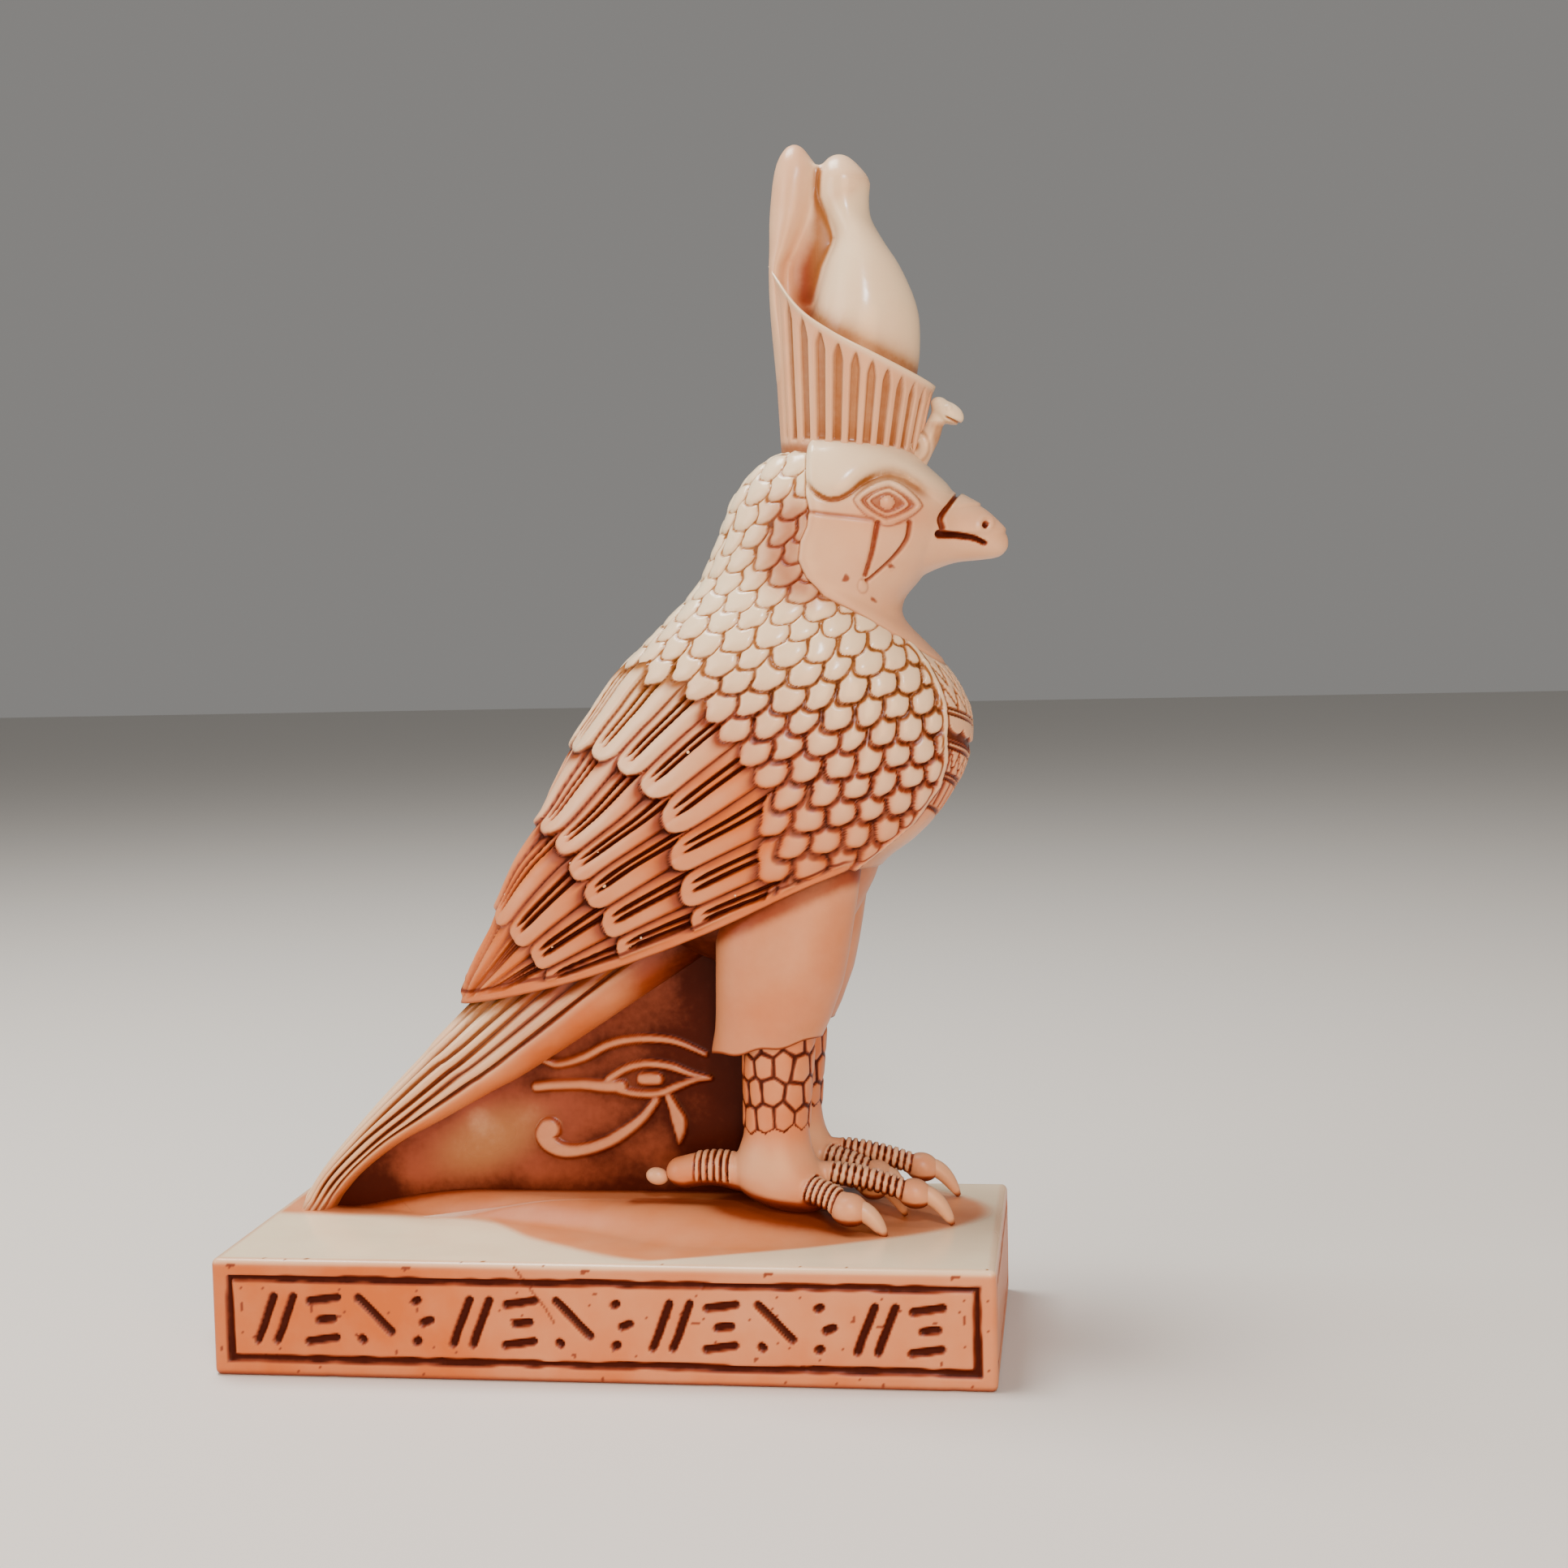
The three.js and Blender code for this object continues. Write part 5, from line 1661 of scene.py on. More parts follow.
@dataclass(frozen=True)
class Web:
    """The panel between tail and legs, washed dark, with an eye in relief on each face."""

    half: float = 1.7
    relief: float = 0.9
    foot: float = -1.0
    outline: Path = ((-54, -1), (-49, 6), (-33, 16.5), (-14, 28), (2, 46), (24, 50))
    step: float = 0.34
    tan_place: tuple[float, float] = (-25, 12)
    tan_half: tuple[float, float] = (15, 8.5)
    tan_slope: float = 0.3
    strokes: tuple[Stroke, ...] = (
        Stroke(
            (
                (-15.4, 25.8), (-12.7, 25.0), (-8.3, 26.2), (-3.9, 28.4), (0.5, 29.4), (5.3, 29.4),
                (8.7, 28.7), (12.8, 26.9),
            ),
            (0.9, 1.3, 1.3, 1.2, 0.7),
        ),
        Stroke(((-16.6, 21.1), (-13.7, 21.4), (-8.5, 21.6), (-5.0, 21.3), (-1.9, 21.3)), (1.5, 1.7, 2.1)),
        Stroke(
            ((-4.0, 22.5), (-1.8, 23.9), (0.4, 24.8), (3.4, 25.2), (6.9, 24.7), (10.3, 23.5), (13.6, 22.8)),
            (1.2, 1.2, 1.2, 0.5),
        ),
        Stroke(
            ((-4.1, 21.7), (-1.9, 20.6), (1.6, 20.0), (5.0, 20.2), (7.7, 21.3), (10.7, 22.4), (13.6, 22.8)),
            (1.2, 1.2, 1.2, 0.5),
        ),
        Stroke(((1.9, 22.6), (4.4, 22.6)), (2.0, 2.0)),
        Stroke(
            (
                (4.1, 18.9), (1.9, 16.1), (-0.8, 13.9), (-4.4, 11.7), (-8.3, 10.4), (-11.9, 10.1),
                (-14.3, 11.1), (-15.3, 12.7), (-14.6, 13.8),
            ),
            (1.2, 1.5, 1.9, 1.9, 2.0, 2.6, 3.7),
        ),
        Stroke(
            ((6.3, 19.4), (7.2, 17.4), (8.0, 15.2), (8.1, 13.1), (7.9, 11.7)),
            (1.2, 1.7, 2.5, 1.9, 0.4),
        ),
    )

    def face(self, side: Side) -> tuple[Array, Array, Array]:
        """One face of the panel.

        Args:
            side: Which face.

        Returns:
            Points by row and column, the wash and the tone.
        """
        along = np.arange(self.outline[0][0], self.outline[-1][0] + self.step, self.step)
        top = second_at(self.outline, along)
        rows = int(top.max() / self.step)
        level = self.foot + (top - self.foot) * np.linspace(0, 1, rows)[:, None]
        x = np.broadcast_to(along, level.shape)
        inside = np.max([stroke.inside(x, level) for stroke in self.strokes], axis=0)
        flat = np.stack([x, np.zeros_like(x), level], -1)
        y = side.value * (self.half + self.relief * ramp(inside, -0.42, 0.38) + 0.12 * noise(flat, 6.0, 61))
        du, dv = x - self.tan_place[0], level - self.tan_place[1]
        tan = hump(du, self.tan_half[0]) * hump(dv - self.tan_slope * du, self.tan_half[1])
        ground = 0.78 + 0.12 * noise(flat, 5.5, 63) + 0.14 * fading(-inside - 0.3, 1.2) - 0.4 * tan
        ground = ground + 0.2 * ramp(x, 4, 15) + 0.25 * ramp(x, -38, -50) + 0.2 * ramp(level, 7, 2)
        on_stroke = ramp(inside, -0.25, 0.05)
        wash = blend(ground, 0.36 - 0.12 * ramp(inside, 0.1, 0.6), on_stroke)
        return np.stack([x, y, level], -1), wash, blend(0.95 - 0.7 * tan, 0.7, on_stroke)

    def skins(self) -> dict[str, Skin]:
        """The panel's skin, its two faces joined round the edge.

        Returns:
            The skin by name.
        """
        near, far = self.face(Side.RIGHT), self.face(Side.LEFT)
        rows, columns = near[1].shape
        count = rows * columns
        order = np.arange(count).reshape(rows, columns)
        border = np.concatenate([order[0], order[1:, -1], order[-1, -2::-1], order[-2:0:-1, 0]])
        ahead = np.roll(border, -1)
        faces = grid_faces(rows, columns, False)
        faces += [[count + i for i in reversed(face)] for face in faces]
        faces += np.stack([border, border + count, ahead + count, ahead], -1).tolist()
        points, wash, tone = (np.concatenate(pair) for pair in zip(near, far))
        return {"web_with_eye": Skin(points.reshape(-1, 3), faces, wash.ravel(), tone.ravel())}


# Ground and legs


@dataclass(frozen=True)
class Swell:
    """The low swell of ground under web and feet, broader on the falcon's right."""

    middle: float = -3.0
    half_long: float = 49.0
    near: Path = ((-52, 5), (-33, 9), (-19, 12), (-3, 17), (10, 24), (25, 29), (46, 29))
    half_far: float = 19.0
    rise: float = 3.3

    def height(self, x: Array, y: Array) -> Array:
        """The ground's height over the plinth's flat top.

        Args:
            x: Places along the plinth.
            y: Places to the falcon's left.

        Returns:
            The heights.
        """
        half_wide = np.where(y < 0, spline(*zip(*self.near), x), self.half_far)
        inside = 1 - ((x - self.middle) / self.half_long) ** 2 - (y / half_wide) ** 2
        return self.rise * ramp(inside, -0.05, 0.75)


@dataclass(frozen=True)
class Toe:
    """A ringed toe with a round ball and a hooked claw, drawn from the leg's middle."""

    start: tuple[float, float, float]
    ball: tuple[float, float, float]
    claw: tuple[float, float, float]
    radius: float
    ball_radius: float
    rings: int

    def placed(self, side: Side, offset: float) -> tuple[Array, Array, Array]:
        """Start, ball and claw on the leg of a side at an offset from the middle plane."""
        points = (self.start, self.ball, self.claw)
        return tuple(np.array([x, side.value * (offset - out), level]) for x, out, level in points)

    def forms(self, side: Side, offset: float) -> list[Form]:
        """The closed forms of toe and ball.

        Args:
            side: The leg's side.
            offset: The leg's distance from the middle plane.

        Returns:
            The forms.
        """
        start, end, _ = self.placed(side, offset)
        shares = np.linspace(0, 1, 8)
        path = [start + (end - start) * t + [0, 0, 0.8 * math.sin(math.pi * t)] for t in shares]
        radii = np.linspace(self.radius * 1.15, self.radius, 8)
        r = self.ball_radius
        return [ring_stack(limb(path, radii)), ring_stack(ball(end, (1.12 * r, r, 0.95 * r), 0.25))]

    def claw_form(self, side: Side, offset: float) -> Form:
        """The claw, hooked down from the ball.

        Args:
            side: The leg's side.
            offset: The leg's distance from the middle plane.

        Returns:
            The form.
        """
        _, end, tip = self.placed(side, offset)
        if self is HIND_TOE:
            return ring_stack(ball(tip + (end - tip) * 0.12, (1.9, 1.35, 1.45), 0.2))
        places = np.linspace(0.25, 1, 9)
        hook = [[t, t, t**2.2] * (tip - end) + [0, 0, 0.35 * math.sin(math.pi * t)] for t in places]
        radii = 0.58 * self.ball_radius * round_top((places - 0.25) / 0.78)
        return ring_stack(limb([end + point for point in hook], radii))


TOES = (
    Toe((29.6, -3, 6.6), (38.1, -6.2, 4.0), (44.0, -7.2, -0.1), 1.95, 2.9, 6),
    Toe((31.5, 0.5, 8.6), (48.3, 0, 5.2), (54.5, -0.3, 0.2), 1.65, 2.65, 11),
    Toe((30, 3, 8), (41, 4.6, 5.2), (46.4, 4.9, 0.2), 1.45, 2.4, 7),
)
HIND_TOE = Toe((20, 0, 8.3), (9.9, 0.4, 8.3), (4.6, 0.6, 7.4), 2.7, 2.75, 6)
ALL_TOES = (*TOES, HIND_TOE)


@dataclass(frozen=True)
class Leg:
    """One leg: smooth feathered thigh, shank with a net of scales, and four toes."""

    side: Side
    offset: float = 9.0
    swell: Swell = Swell()
    net_axis: float = 25.65
    net_middle: float = 18.4
    net_cell: tuple[float, float] = (3.3, 4.2)
    hem_level: float = 28.6
    hem_tuck: Path = ((0.72, 1.2), (0.9, 0.3))
    net_reach: float = 7.6
    net_radius: float = 5.5
    net_foot: float = 14.0
    net_seed: int = 9
    voxel: float = 0.27
    hidden_above: float = 32.0
    sunk: float = 0.5
    thigh: Stations = Stations(
        (
            (27, 15.0, 33.2, 6.6), (29, 15.2, 33.8, 6.9), (33, 15.9, 35.2, 7.5), (43, 16.2, 37.8, 7.8),
            (53, 16.5, 39.6, 6.6), (62, 18, 41, 5.2),
        ),
    )
    shank: Stations = Stations(
        (
            (2.2, 26.0, 32.5, 2.2), (3.6, 22.6, 34.2, 4.4), (5.4, 19.8, 34.6, 5.8), (8.2, 18.2, 33.8, 6.2),
            (11.5, 18.9, 31.9, 5.8), (15, 20.1, 31.1, 5.3), (17.4, 20.3, 31.1, 5.3), (28, 20.4, 32.0, 5.6),
            (33, 20.6, 32.4, 5.7),
        ),
    )

    @property
    def middle(self) -> float:
        """The leg's y."""
        return self.side.value * self.offset

    def thigh_skin(self) -> Skin:
        """The thigh down to its wavy hem.

        Returns:
            The skin.
        """
        rings = LevelForm(self.thigh, 0.9, self.middle).rings(104, 60, low=self.hem_level)
        x, level = rings[..., 0], rings[..., 2]
        level += np.interp(level, [self.hem_level, 40], [0.17, 0]) * (x - 15) * 0.95
        level += 0.3 * np.sin(x * 0.85) * ramp(level, 38, 30)
        centre = rings[0].mean(0)
        tucked = [centre + (rings[0] - centre) * size + [0, 0, up] for size, up in self.hem_tuck]
        # Painted shade: the thigh is washed dark at its back near the top and close under the wings' lower
        # edge.
        wash = np.maximum(0.6 * ramp(x, 18.0, 15.8) * ramp(level, 50, 56), 0.5 * shade_under_wing(x, level, 4.0))
        wash[0] = np.maximum(wash[0], 0.35)
        wash = np.concatenate([np.full((len(tucked), rings.shape[1]), 0.9), wash])
        points, faces = ring_stack(np.concatenate([tucked, rings]))
        return Skin(points, faces, wash.ravel() + 0.17, 0.78 + 0.06 * noise(points, 9.0, 71))

    def foot_skin(self) -> Skin:
        """Shank, foot and toes as one skin.

        Returns:
            The skin.
        """
        forms = [ring_stack(LevelForm(self.shank, 1.0, self.middle).rings(64, 60))]
        for toe in ALL_TOES:
            forms += toe.forms(self.side, self.offset)
        points, faces = fuse(forms, self.voxel, 6)
        normals = mesh_normals(points, faces)
        x, y, level = points.T
        over = level - self.swell.height(x, y)
        # Painted shade, with glaze: the foot is washed dark close to the ground and on its faces that look
        # down.
        under = ramp(normals[:, 2], -0.2, -0.8) * ramp(level, 12, 9)
        lift, wash = np.zeros(len(points)), np.maximum(0.6 * ramp(over, 2.2, 0.4), 0.8 * under)
        for add_lift, add_wash in (*(self._rings(points, toe) for toe in ALL_TOES), self._net(points)):
            lift, wash = lift + add_lift, np.maximum(wash, add_wash)
        shank = ramp(level, 11, 17)
        tone = 0.68 + 0.2 * shank + 0.2 * ramp(x, 20, 10) + 0.1 * noise(points, 6.0, 72)
        tone = tone - 0.2 * ramp(lift, 0.1, 0.3) * (1 - shank)
        covered = (level > self.hidden_above) | (over < -self.sunk)
        return trimmed(Skin(points + normals * lift[:, None], faces.tolist(), wash, tone), covered)

    def _rings(self, points: Array, toe: Toe) -> tuple[Array, Array]:
        """Rings round one toe, from the foot to the ball.

        Args:
            points: The skin's points.
            toe: The toe.

        Returns:
            The lift and the wash.
        """
        start, end, _ = toe.placed(self.side, self.offset)
        length = float(np.linalg.norm(end - start))
        axis = (end - start) / length
        along = (points - start) @ axis
        off = points - start - along[:, None] * axis
        usable = length - 0.75 * toe.ball_radius
        near = 1 - ramp(np.linalg.norm(off, axis=1), toe.radius + 1.0, toe.radius + 1.6)
        near = near * window(along, (0.12 * length, 0.2 * length), (usable - 0.1, usable + 0.3))
        near = near * ramp(off[:, 2], -1.6, -0.6)
        wave = zigzag((usable - along) / (usable * 0.86 / toe.rings))
        cut = near * ramp(wave + 0.12 * noise(points, 1.1, 74), 0.5, 0.82)
        return 0.25 * near - 0.55 * cut, 0.95 * cut

    def _net(self, points: Array) -> tuple[Array, Array]:
        """The net of rounded scales round the upper shank.

        Args:
            points: The skin's points.

        Returns:
            The lift and the wash.
        """
        x, y, level = points.T
        du, dv = x - self.net_axis, y - self.middle
        across = np.arctan2(dv, du) * self.net_radius
        edge, row = honeycomb(across, level - self.net_middle, *self.net_cell, self.net_seed)
        upper = (row >= 0) & (np.hypot(du, dv) < self.net_reach) & (level > self.net_foot)
        line = 1 - ramp(edge + 0.1 * noise(points, 1.4, 73), 0.12, 0.44)
        return (0.45 * round_edge(edge / 0.9) - 0.2) * upper, 0.9 * line * upper

    def claws_skin(self) -> Skin:
        """The four claws.

        Returns:
            The skin.
        """
        points, faces = join([toe.claw_form(self.side, self.offset) for toe in ALL_TOES])
        return Skin(points, faces, 0.55 * ramp(points[:, 2], 1.2, 0.2), np.full(len(points), 0.58))

    def skins(self) -> dict[str, Skin]:
        """The leg's skins by name."""
        skins = {"thigh": self.thigh_skin(), "foot": self.foot_skin(), "claws": self.claws_skin()}
        return {f"{name}_{self.side.name.lower()}": skin for name, skin in skins.items()}


# Plinth


@dataclass(frozen=True)
class Plinth:
    """Block with rounded edges, a sunk frame with strokes, and the swell of ground on top."""

    sizes: Sizes
    edge_radius: float = 1.0
    frame_inset: float = 2.4
    frame_width: float = 1.2
    carving_depth: float = 0.75
    stroke_width: float = 1.4
    stroke_pitch: float = 8.0
    stroke_clearance: float = 1.4
    near_step: float = 0.36
    far_step: float = 0.86
    side_rows: int = 48
    top_rows: int = 44
    bend_rows: int = 5
    chip_size: float = 3.1
    chip_rarity: float = 0.62
    pit_size: float = 0.9
    pit_rarity: float = 0.86
    leg_offset: float = Leg.offset
    heel: float = 22.0
    ankle: float = 29.0
    film_middle: float = -6.0
    film_half: tuple[float, float] = (48, 17)
    scratch: Path = ((-12.8, 9.0), (-10.2, 5.4), (-8.0, 2.6), (-6.6, 0.2))
    swell: Swell = Swell()
    # Edge of the figure's cast shadow, painted on the plinth's top as a warm orange stain.
    shadow_and_stain: Path = (
        (-62, -7), (-37.5, -8), (-23.0, -10.5), (-13.5, -20), (0.5, -29.2), (12.4, -33.8), (23.2, -34.9),
        (32.7, -34.0), (41.8, -30), (49.3, -21.5), (57.0, -10.5), (62.5, 1),
    )
    groups: tuple[tuple[tuple[float, float, float, float], ...], ...] = (
        ((-0.2, 0.0, 1.0, 1.2), (0.2, 0.0, 1.0, 1.2)),
        ((0.0, 0.36, 0.66, 0.15), (0.04, 0.0, 0.4, 0.15), (-0.04, -0.36, 0.66, 0.15)),
        ((0.05, 0.1, 1.0, -0.8), (-0.22, -0.34, 0.2, -0.8)),
        ((-0.1, 0.36, 0.2, 0.4), (0.1, 0.0, 0.3, 0.4), (-0.1, -0.36, 0.2, 0.4)),
    )

    def outline(self) -> tuple[Array, Array]:
        """The block's outline with rounded corners, close on the near side.

        Returns:
            Points of the outline from the near side's left end on, and their outward directions.
        """
        r = self.edge_radius
        x, y = self.sizes.length / 2 - r, self.sizes.depth / 2 - r
        corners = np.array([(-x, -y), (x, -y), (x, y), (-x, y), (-x, -y)])
        centres, angles = [], []
        for k, (start, end) in enumerate(zip(corners, corners[1:])):
            facing = (k - 1) * np.pi / 2
            count = int(np.linalg.norm(end - start) / (self.far_step if k else self.near_step))
            centres += list(np.linspace(start, end, count, endpoint=False)) + [end] * 4
            angles += [facing] * count + list(np.linspace(facing, facing + np.pi / 2, 4, endpoint=False))
        outs = np.stack([np.cos(angles), np.sin(angles)], -1)
        return np.array(centres) + outs * r, outs

    def strokes(self) -> list[Path]:
        """The strokes' two ends each, along and up the near face, in leaning groups.

        Returns:
            The strokes.
        """
        margin = self.frame_inset + self.frame_width + self.stroke_clearance
        tall = self.sizes.plinth - 2 * margin
        reach = self.sizes.length / 2 - margin - self.stroke_pitch / 2
        count = int(2 * reach // self.stroke_pitch) + 1
        made: list[Path] = []
        for i in range(count):
            along = (i - (count - 1) / 2) * self.stroke_pitch
            for du, dv, length, lean in self.groups[i % len(self.groups)]:
                u, v = along + du * self.stroke_pitch, dv * tall
                half = max(length * tall - self.stroke_width, 0.4) / 2
                arm_u, arm_v = half * math.cos(lean), half * math.sin(lean)
                made.append(((u - arm_u, v - arm_v), (u + arm_u, v + arm_v)))
        return made

    def carving(self, points: Array, outs: Array) -> tuple[Array, Array]:
        """Depth and wash of the frame line, the strokes and the damage on the sides.

        Args:
            points: Points of the sides.
            outs: Their outward directions.

        Returns:
            The depth and the wash.
        """
        half_height = self.sizes.plinth / 2
        up = points[..., 2] - half_height
        near = outs[..., 1] < -0.99
        short_side, long_side = (np.abs(outs[..., k]) > 0.99 for k in (0, 1))
        along = np.where(long_side, points[..., 0], points[..., 1])
        reach = np.where(long_side, self.sizes.length, self.sizes.depth) / 2 - self.frame_inset
        flat = (long_side | short_side).astype(float)
        middle = self.frame_width / 2
        rise = half_height - self.frame_inset - middle
        wobble = 0.14 * noise(points, 7.0, 81)
        box = np.maximum(np.abs(up + wobble) - rise, np.abs(along) - reach + middle)
        width = middle * (1 + 0.25 * noise(points, 2.5, 82))
        cut = (1 - ramp(np.abs(box) / width, 0.6, 1.15)) * flat
        pick = near & (np.abs(up) < rise)
        u = along[pick] + 0.12 * noise(points[pick], 2.0, 83)
        v = up[pick] + 0.12 * noise(points[pick], 2.0, 84)
        found = np.min([path_distance(u, v, path)[0] for path in self.strokes()], axis=0)
        stroke = 1 - ramp(found, self.stroke_width / 2 - 0.3, self.stroke_width / 2 + 0.12)
        cut[pick] = np.maximum(cut[pick], stroke)
        chips = np.clip(noise(points, self.chip_size, 85) - self.chip_rarity, 0, 1) * 2.5
        chips = chips * ramp(np.abs(up), half_height - 1.6, half_height)
        pits = (noise(points, self.pit_size, 86) > self.pit_rarity) * flat
        line = (1 - ramp(path_distance(along, up, self.scratch)[0], 0.05, 0.3)) * near
        edge_dirt = ramp(-up, half_height - 1.2, half_height - 0.1)
        depth = self.carving_depth * cut + 0.25 * chips + 0.15 * pits
        washes = (1.0 * cut, 0.5 * pits, 0.45 * line, 0.1 * np.clip(chips, 0, 1), 0.4 * edge_dirt)
        return depth, np.maximum.reduce(washes) + 0.08

    def skins(self) -> dict[str, Skin]:
        """The plinth's skin.

        Returns:
            The skin by name.
        """
        line, outs = self.outline()
        r, height, half_y = self.edge_radius, self.sizes.plinth, self.sizes.depth / 2
        bend = np.pi / 2 * np.linspace(0, 1, self.bend_rows)
        out, rise = r * np.cos(bend), r * np.sin(bend)
        wall = np.linspace(r, height - r, self.side_rows)
        levels = np.concatenate([r - out[:-1], wall, height - r + rise[1:]])
        insets = np.concatenate([r - rise[:-1], 0 * wall, r - out[1:]])[:, None, None]
        upright = np.broadcast_to(levels[:, None, None], (len(levels), len(line), 1))
        rings = np.concatenate([line - outs * insets, upright], -1)
        spread = np.broadcast_to(outs, rings[..., :2].shape)
        depth, wash = self.carving(rings, spread)
        rings[..., :2] -= spread * depth[..., None]
        reach = self.sizes.length / 2 - half_y
        core = np.stack([np.clip(line[:, 0], -reach, reach), np.zeros(len(line))], -1)
        share = np.linspace(0, 0.995, self.top_rows + 1)[1:, None, None]
        flat = blend(line - outs * r, core, share)
        top = np.concatenate([flat, np.full((*flat.shape[:2], 1), height)], -1)
        top[..., 2] += self.swell.height(flat[..., 0], flat[..., 1] - self.sizes.set_back)
        top[..., 2] += 0.06 * noise(top, 8.0, 87) * ramp(share[..., 0], 0, 0.1)
        top_wash, top_tone = self._top_finish(top)
        left_end = ramp(-rings[..., 0], 0, 45)
        tone = 0.86 + 0.12 * left_end + 0.08 * noise(rings, 12.0, 89)
        # Partly painted highlight: the rounded top edge is painted paler where light from above falls on
        # it, besides glaze wiped off it.
        tone = tone - 0.55 * ramp(rings[..., 2], height - 1.2, height - 0.2)
        points, faces = ring_stack(np.concatenate([rings, top]))
        drawn = (points - [0, self.sizes.set_back, height]) / (self.sizes.falcon / DRAWN_HEIGHT)
        wash = np.concatenate([wash + 0.05 * left_end, top_wash])
        return {"plinth": Skin(drawn, faces, wash.ravel(), np.concatenate([tone, top_tone]).ravel())}

    def _top_finish(self, top: Array) -> tuple[Array, Array]:
        """A painted shadow of the figure on the top in warm orange, painted shade and wash dark at its
        foot, and pale corners outside the shadow.

        Args:
            top: The top's points.

        Returns:
            The wash and the tone.
        """
        x, y = top[..., 0], top[..., 1] - self.sizes.set_back
        # Painted shadow: behind its painted edge the top takes the warm orange film of the figure's cast
        # shadow, a little less towards the back.
        past_edge = y - spline(*zip(*self.shadow_and_stain), x) + 0.64 * noise(top, 9.0, 88)
        inside = ramp(past_edge, -2.0, 1.6) * (1 - ramp(x + 0.05 * y**2, 58, 62))
        tone = 0.08 + 0.75 * inside * (1 - 0.35 * ramp(y, 4, 14))
        # Painted shade, with glaze: dark round the toes and heels, fading away from them.
        foot = np.zeros(x.shape)
        for side in Side:
            leg_y = side.value * self.leg_offset
            for toe in ALL_TOES:
                out = leg_y - toe.ball[1] * side.value
                path = ((self.heel, leg_y), (toe.ball[0], out), (toe.claw[0] - 2.5, out))
                foot = foot + 0.8 * fading(path_distance(x, y, path)[0] - 1.2, 1.5) ** 2
            path = ((self.heel, leg_y), (self.ankle, leg_y))
            foot = foot + 0.8 * fading(path_distance(x, y, path)[0] - 6.0, 1.3)
        foot = np.sqrt(np.clip(foot, 0, 1)) * (0.55 + 0.15 * noise(top, 4.5, 90))
        foot = foot * (1 - 0.75 * ramp(x, 34, 46))
        panel = 0.85 * fading(np.abs(y) - 1.9, 1.5) * window(x, (-56, -50), (22, 30))
        half_x, half_y = self.film_half
        film = 0.2 * (1 - ramp(np.hypot((x - self.film_middle) / half_x, y / half_y), 0.55, 1.0))
        return np.maximum.reduce([foot, panel, film]), tone


@dataclass(frozen=True)
class Beads:
    """Small resin beads that casting bubbles left in the roots of the feathers."""

    body: Body
    count: int = 46
    past_tip: tuple[float, float] = (0.5, 9.0)
    turns: tuple[float, float] = (22, 82)
    right_share: float = 0.6
    sunk: float = 0.15
    radii: tuple[float, float] = (0.2, 0.34)
    seed: int = 17

    def skins(self) -> dict[str, Skin]:
        """The beads as one skin.

        Returns:
            The skin by name.
        """
        dice = np.random.default_rng(self.seed)
        fan, forms = self.body.feathers, []
        for _ in range(self.count):
            tier = fan.tiers[int(dice.integers(0, 3))]
            radius = tier.tip + dice.uniform(*self.past_tip)
            turn = math.radians(dice.uniform(*self.turns))
            girth = fan.centre[0] + radius * math.cos(turn)
            level = np.array(fan.centre[1] + radius * math.sin(turn))
            side = (Side.RIGHT if dice.random() < self.right_share else Side.LEFT).value
            body_turn = self.body.turn_at(girth / self.body.girth_at(level), level)
            centre = self.body.form.point(body_turn, level) * [1, -side, 1] + [0, side * self.sunk, 0]
            size = dice.uniform(*self.radii)
            forms.append(ring_stack(ball(centre, (size, size, size), steps=7)))
        points, faces = join(forms)
        return {"beads": Skin(points, faces, np.zeros(len(points)), np.full(len(points), 0.2))}


# Studio


@dataclass(frozen=True)
class Light:
    """A soft square light aimed at the figure's middle."""

    name: str
    place: tuple[float, float, float]
    size: float
    power: float
    colour: str

    def build(self) -> None:
        """Adds the light."""
        data = bpy.data.lights.new(self.name, "AREA")
        data.shape = "SQUARE"
        data.size = self.size
        data.energy = self.power
        data.color = linear(self.colour)[:3]
        light = bpy.data.objects.new(self.name, data)
        light.location = self.place
        aim = Vector((0.0, 0.0, FIGURE_MIDDLE)) - Vector(self.place)
        light.rotation_euler = aim.to_track_quat("-Z", "Y").to_euler()
        bpy.context.scene.collection.objects.link(light)


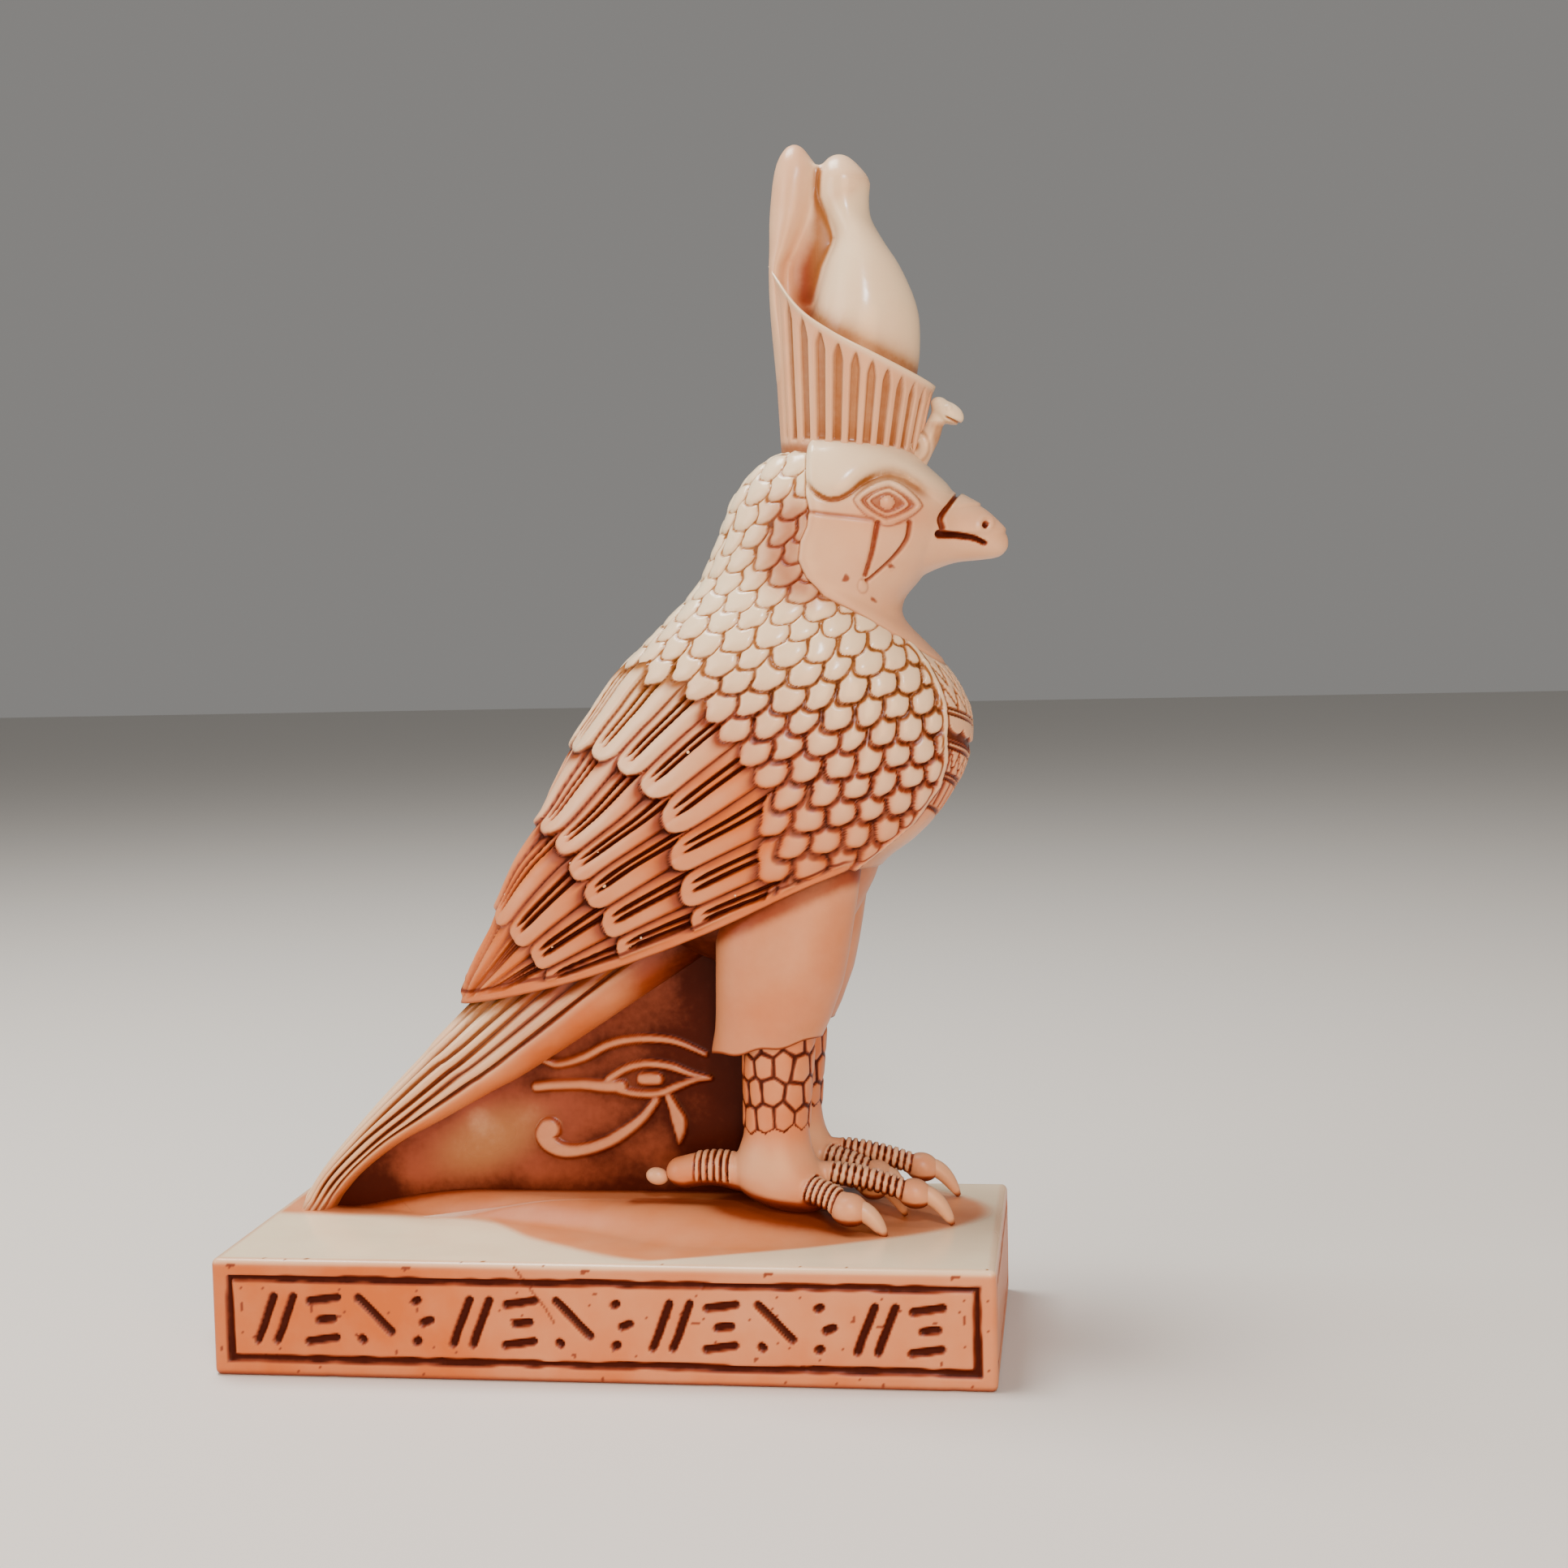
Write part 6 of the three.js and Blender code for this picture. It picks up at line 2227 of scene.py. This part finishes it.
@dataclass(frozen=True)
class Studio:
    """Plain pale floor, soft lights and the camera at the photograph's angle."""

    floor_colour: str = "#D9D6D1"
    floor_reach: float = 3.0
    floor_roughness: float = 0.85
    world_colour: str = "#E6E3DF"
    world_strength: float = 0.3
    lights: tuple[Light, ...] = (
        Light("key", (-0.22, 0.06, 0.80), 0.36, 8.7, "#FFFDF8"),
        Light("fill", (0.32, -0.80, 0.22), 0.55, 6.8, "#FFC286"),
        Light("side", (-0.60, -0.40, 0.35), 0.45, 3.0, "#FFEBD8"),
        Light("glint", (0.18, -0.56, 0.52), 0.07, 2.2, "#F0F6FF"),
    )
    camera_mm: tuple[float, float, float] = (75.854, -360.398, 117.551)
    azimuth: float = -7.568
    elevation: float = -4.038
    roll: float = -1.255
    focal_share: float = 2740 / 1932
    sensor: float = 36.0

    def build(self) -> None:
        """Adds floor, world, lights and camera."""
        self._floor()
        self._world()
        for light in self.lights:
            light.build()
        self._camera()

    def _floor(self) -> None:
        """A wide pale floor under the plinth."""
        mesh = bpy.data.meshes.new("floor")
        r = self.floor_reach
        mesh.from_pydata([(-r, -r, 0), (r, -r, 0), (r, r, 0), (-r, r, 0)], [], [(0, 1, 2, 3)])
        made = bpy.data.materials.new("matt_paper")
        made.use_nodes = True
        shader = made.node_tree.nodes["Principled BSDF"]
        shader.inputs["Base Color"].default_value = linear(self.floor_colour)
        shader.inputs["Roughness"].default_value = self.floor_roughness
        mesh.materials.append(made)
        floor = bpy.data.objects.new("floor", mesh)
        bpy.context.scene.collection.objects.link(floor)

    def _world(self) -> None:
        """Even pale surroundings."""
        world = bpy.data.worlds.new("studio")
        world.use_nodes = True
        background = world.node_tree.nodes["Background"]
        background.inputs["Color"].default_value = linear(self.world_colour)
        background.inputs["Strength"].default_value = self.world_strength
        bpy.context.scene.world = world

    def _camera(self) -> None:
        """The camera where the photograph was taken from."""
        azimuth, elevation, roll = (math.radians(a) for a in (self.azimuth, self.elevation, self.roll))
        flat = math.cos(elevation)
        ahead = Vector((math.sin(azimuth) * flat, math.cos(azimuth) * flat, math.sin(elevation)))
        level_right = ahead.cross(Vector((0, 0, 1))).normalized()
        level_up = level_right.cross(ahead)
        right = level_right * math.cos(roll) + level_up * math.sin(roll)
        up = level_up * math.cos(roll) - level_right * math.sin(roll)
        data = bpy.data.cameras.new("camera")
        data.sensor_width = self.sensor
        data.sensor_fit = "HORIZONTAL"
        data.lens = self.focal_share * self.sensor
        camera = bpy.data.objects.new("camera", data)
        turn = Matrix((right, up, -ahead)).transposed().to_4x4()
        camera.matrix_world = Matrix.Translation(Vector(self.camera_mm) * MM) @ turn
        bpy.context.scene.collection.objects.link(camera)
        bpy.context.scene.camera = camera


def main() -> None:
    """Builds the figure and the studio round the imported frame."""
    logging.basicConfig(level=logging.INFO, format="%(message)s")
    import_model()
    sizes = Sizes.from_frame()
    resin = WashedResin().material()
    body = Body()
    legs = [Leg(side) for side in Side]
    for part in (body, Head(), Crown(), Tail(), Belly(), Web(), *legs, Plinth(sizes), Beads(body)):
        for name, skin in part.skins().items():
            add_piece(name, skin, resin, sizes)
    Studio().build()


if __name__ == "__main__":
    main()
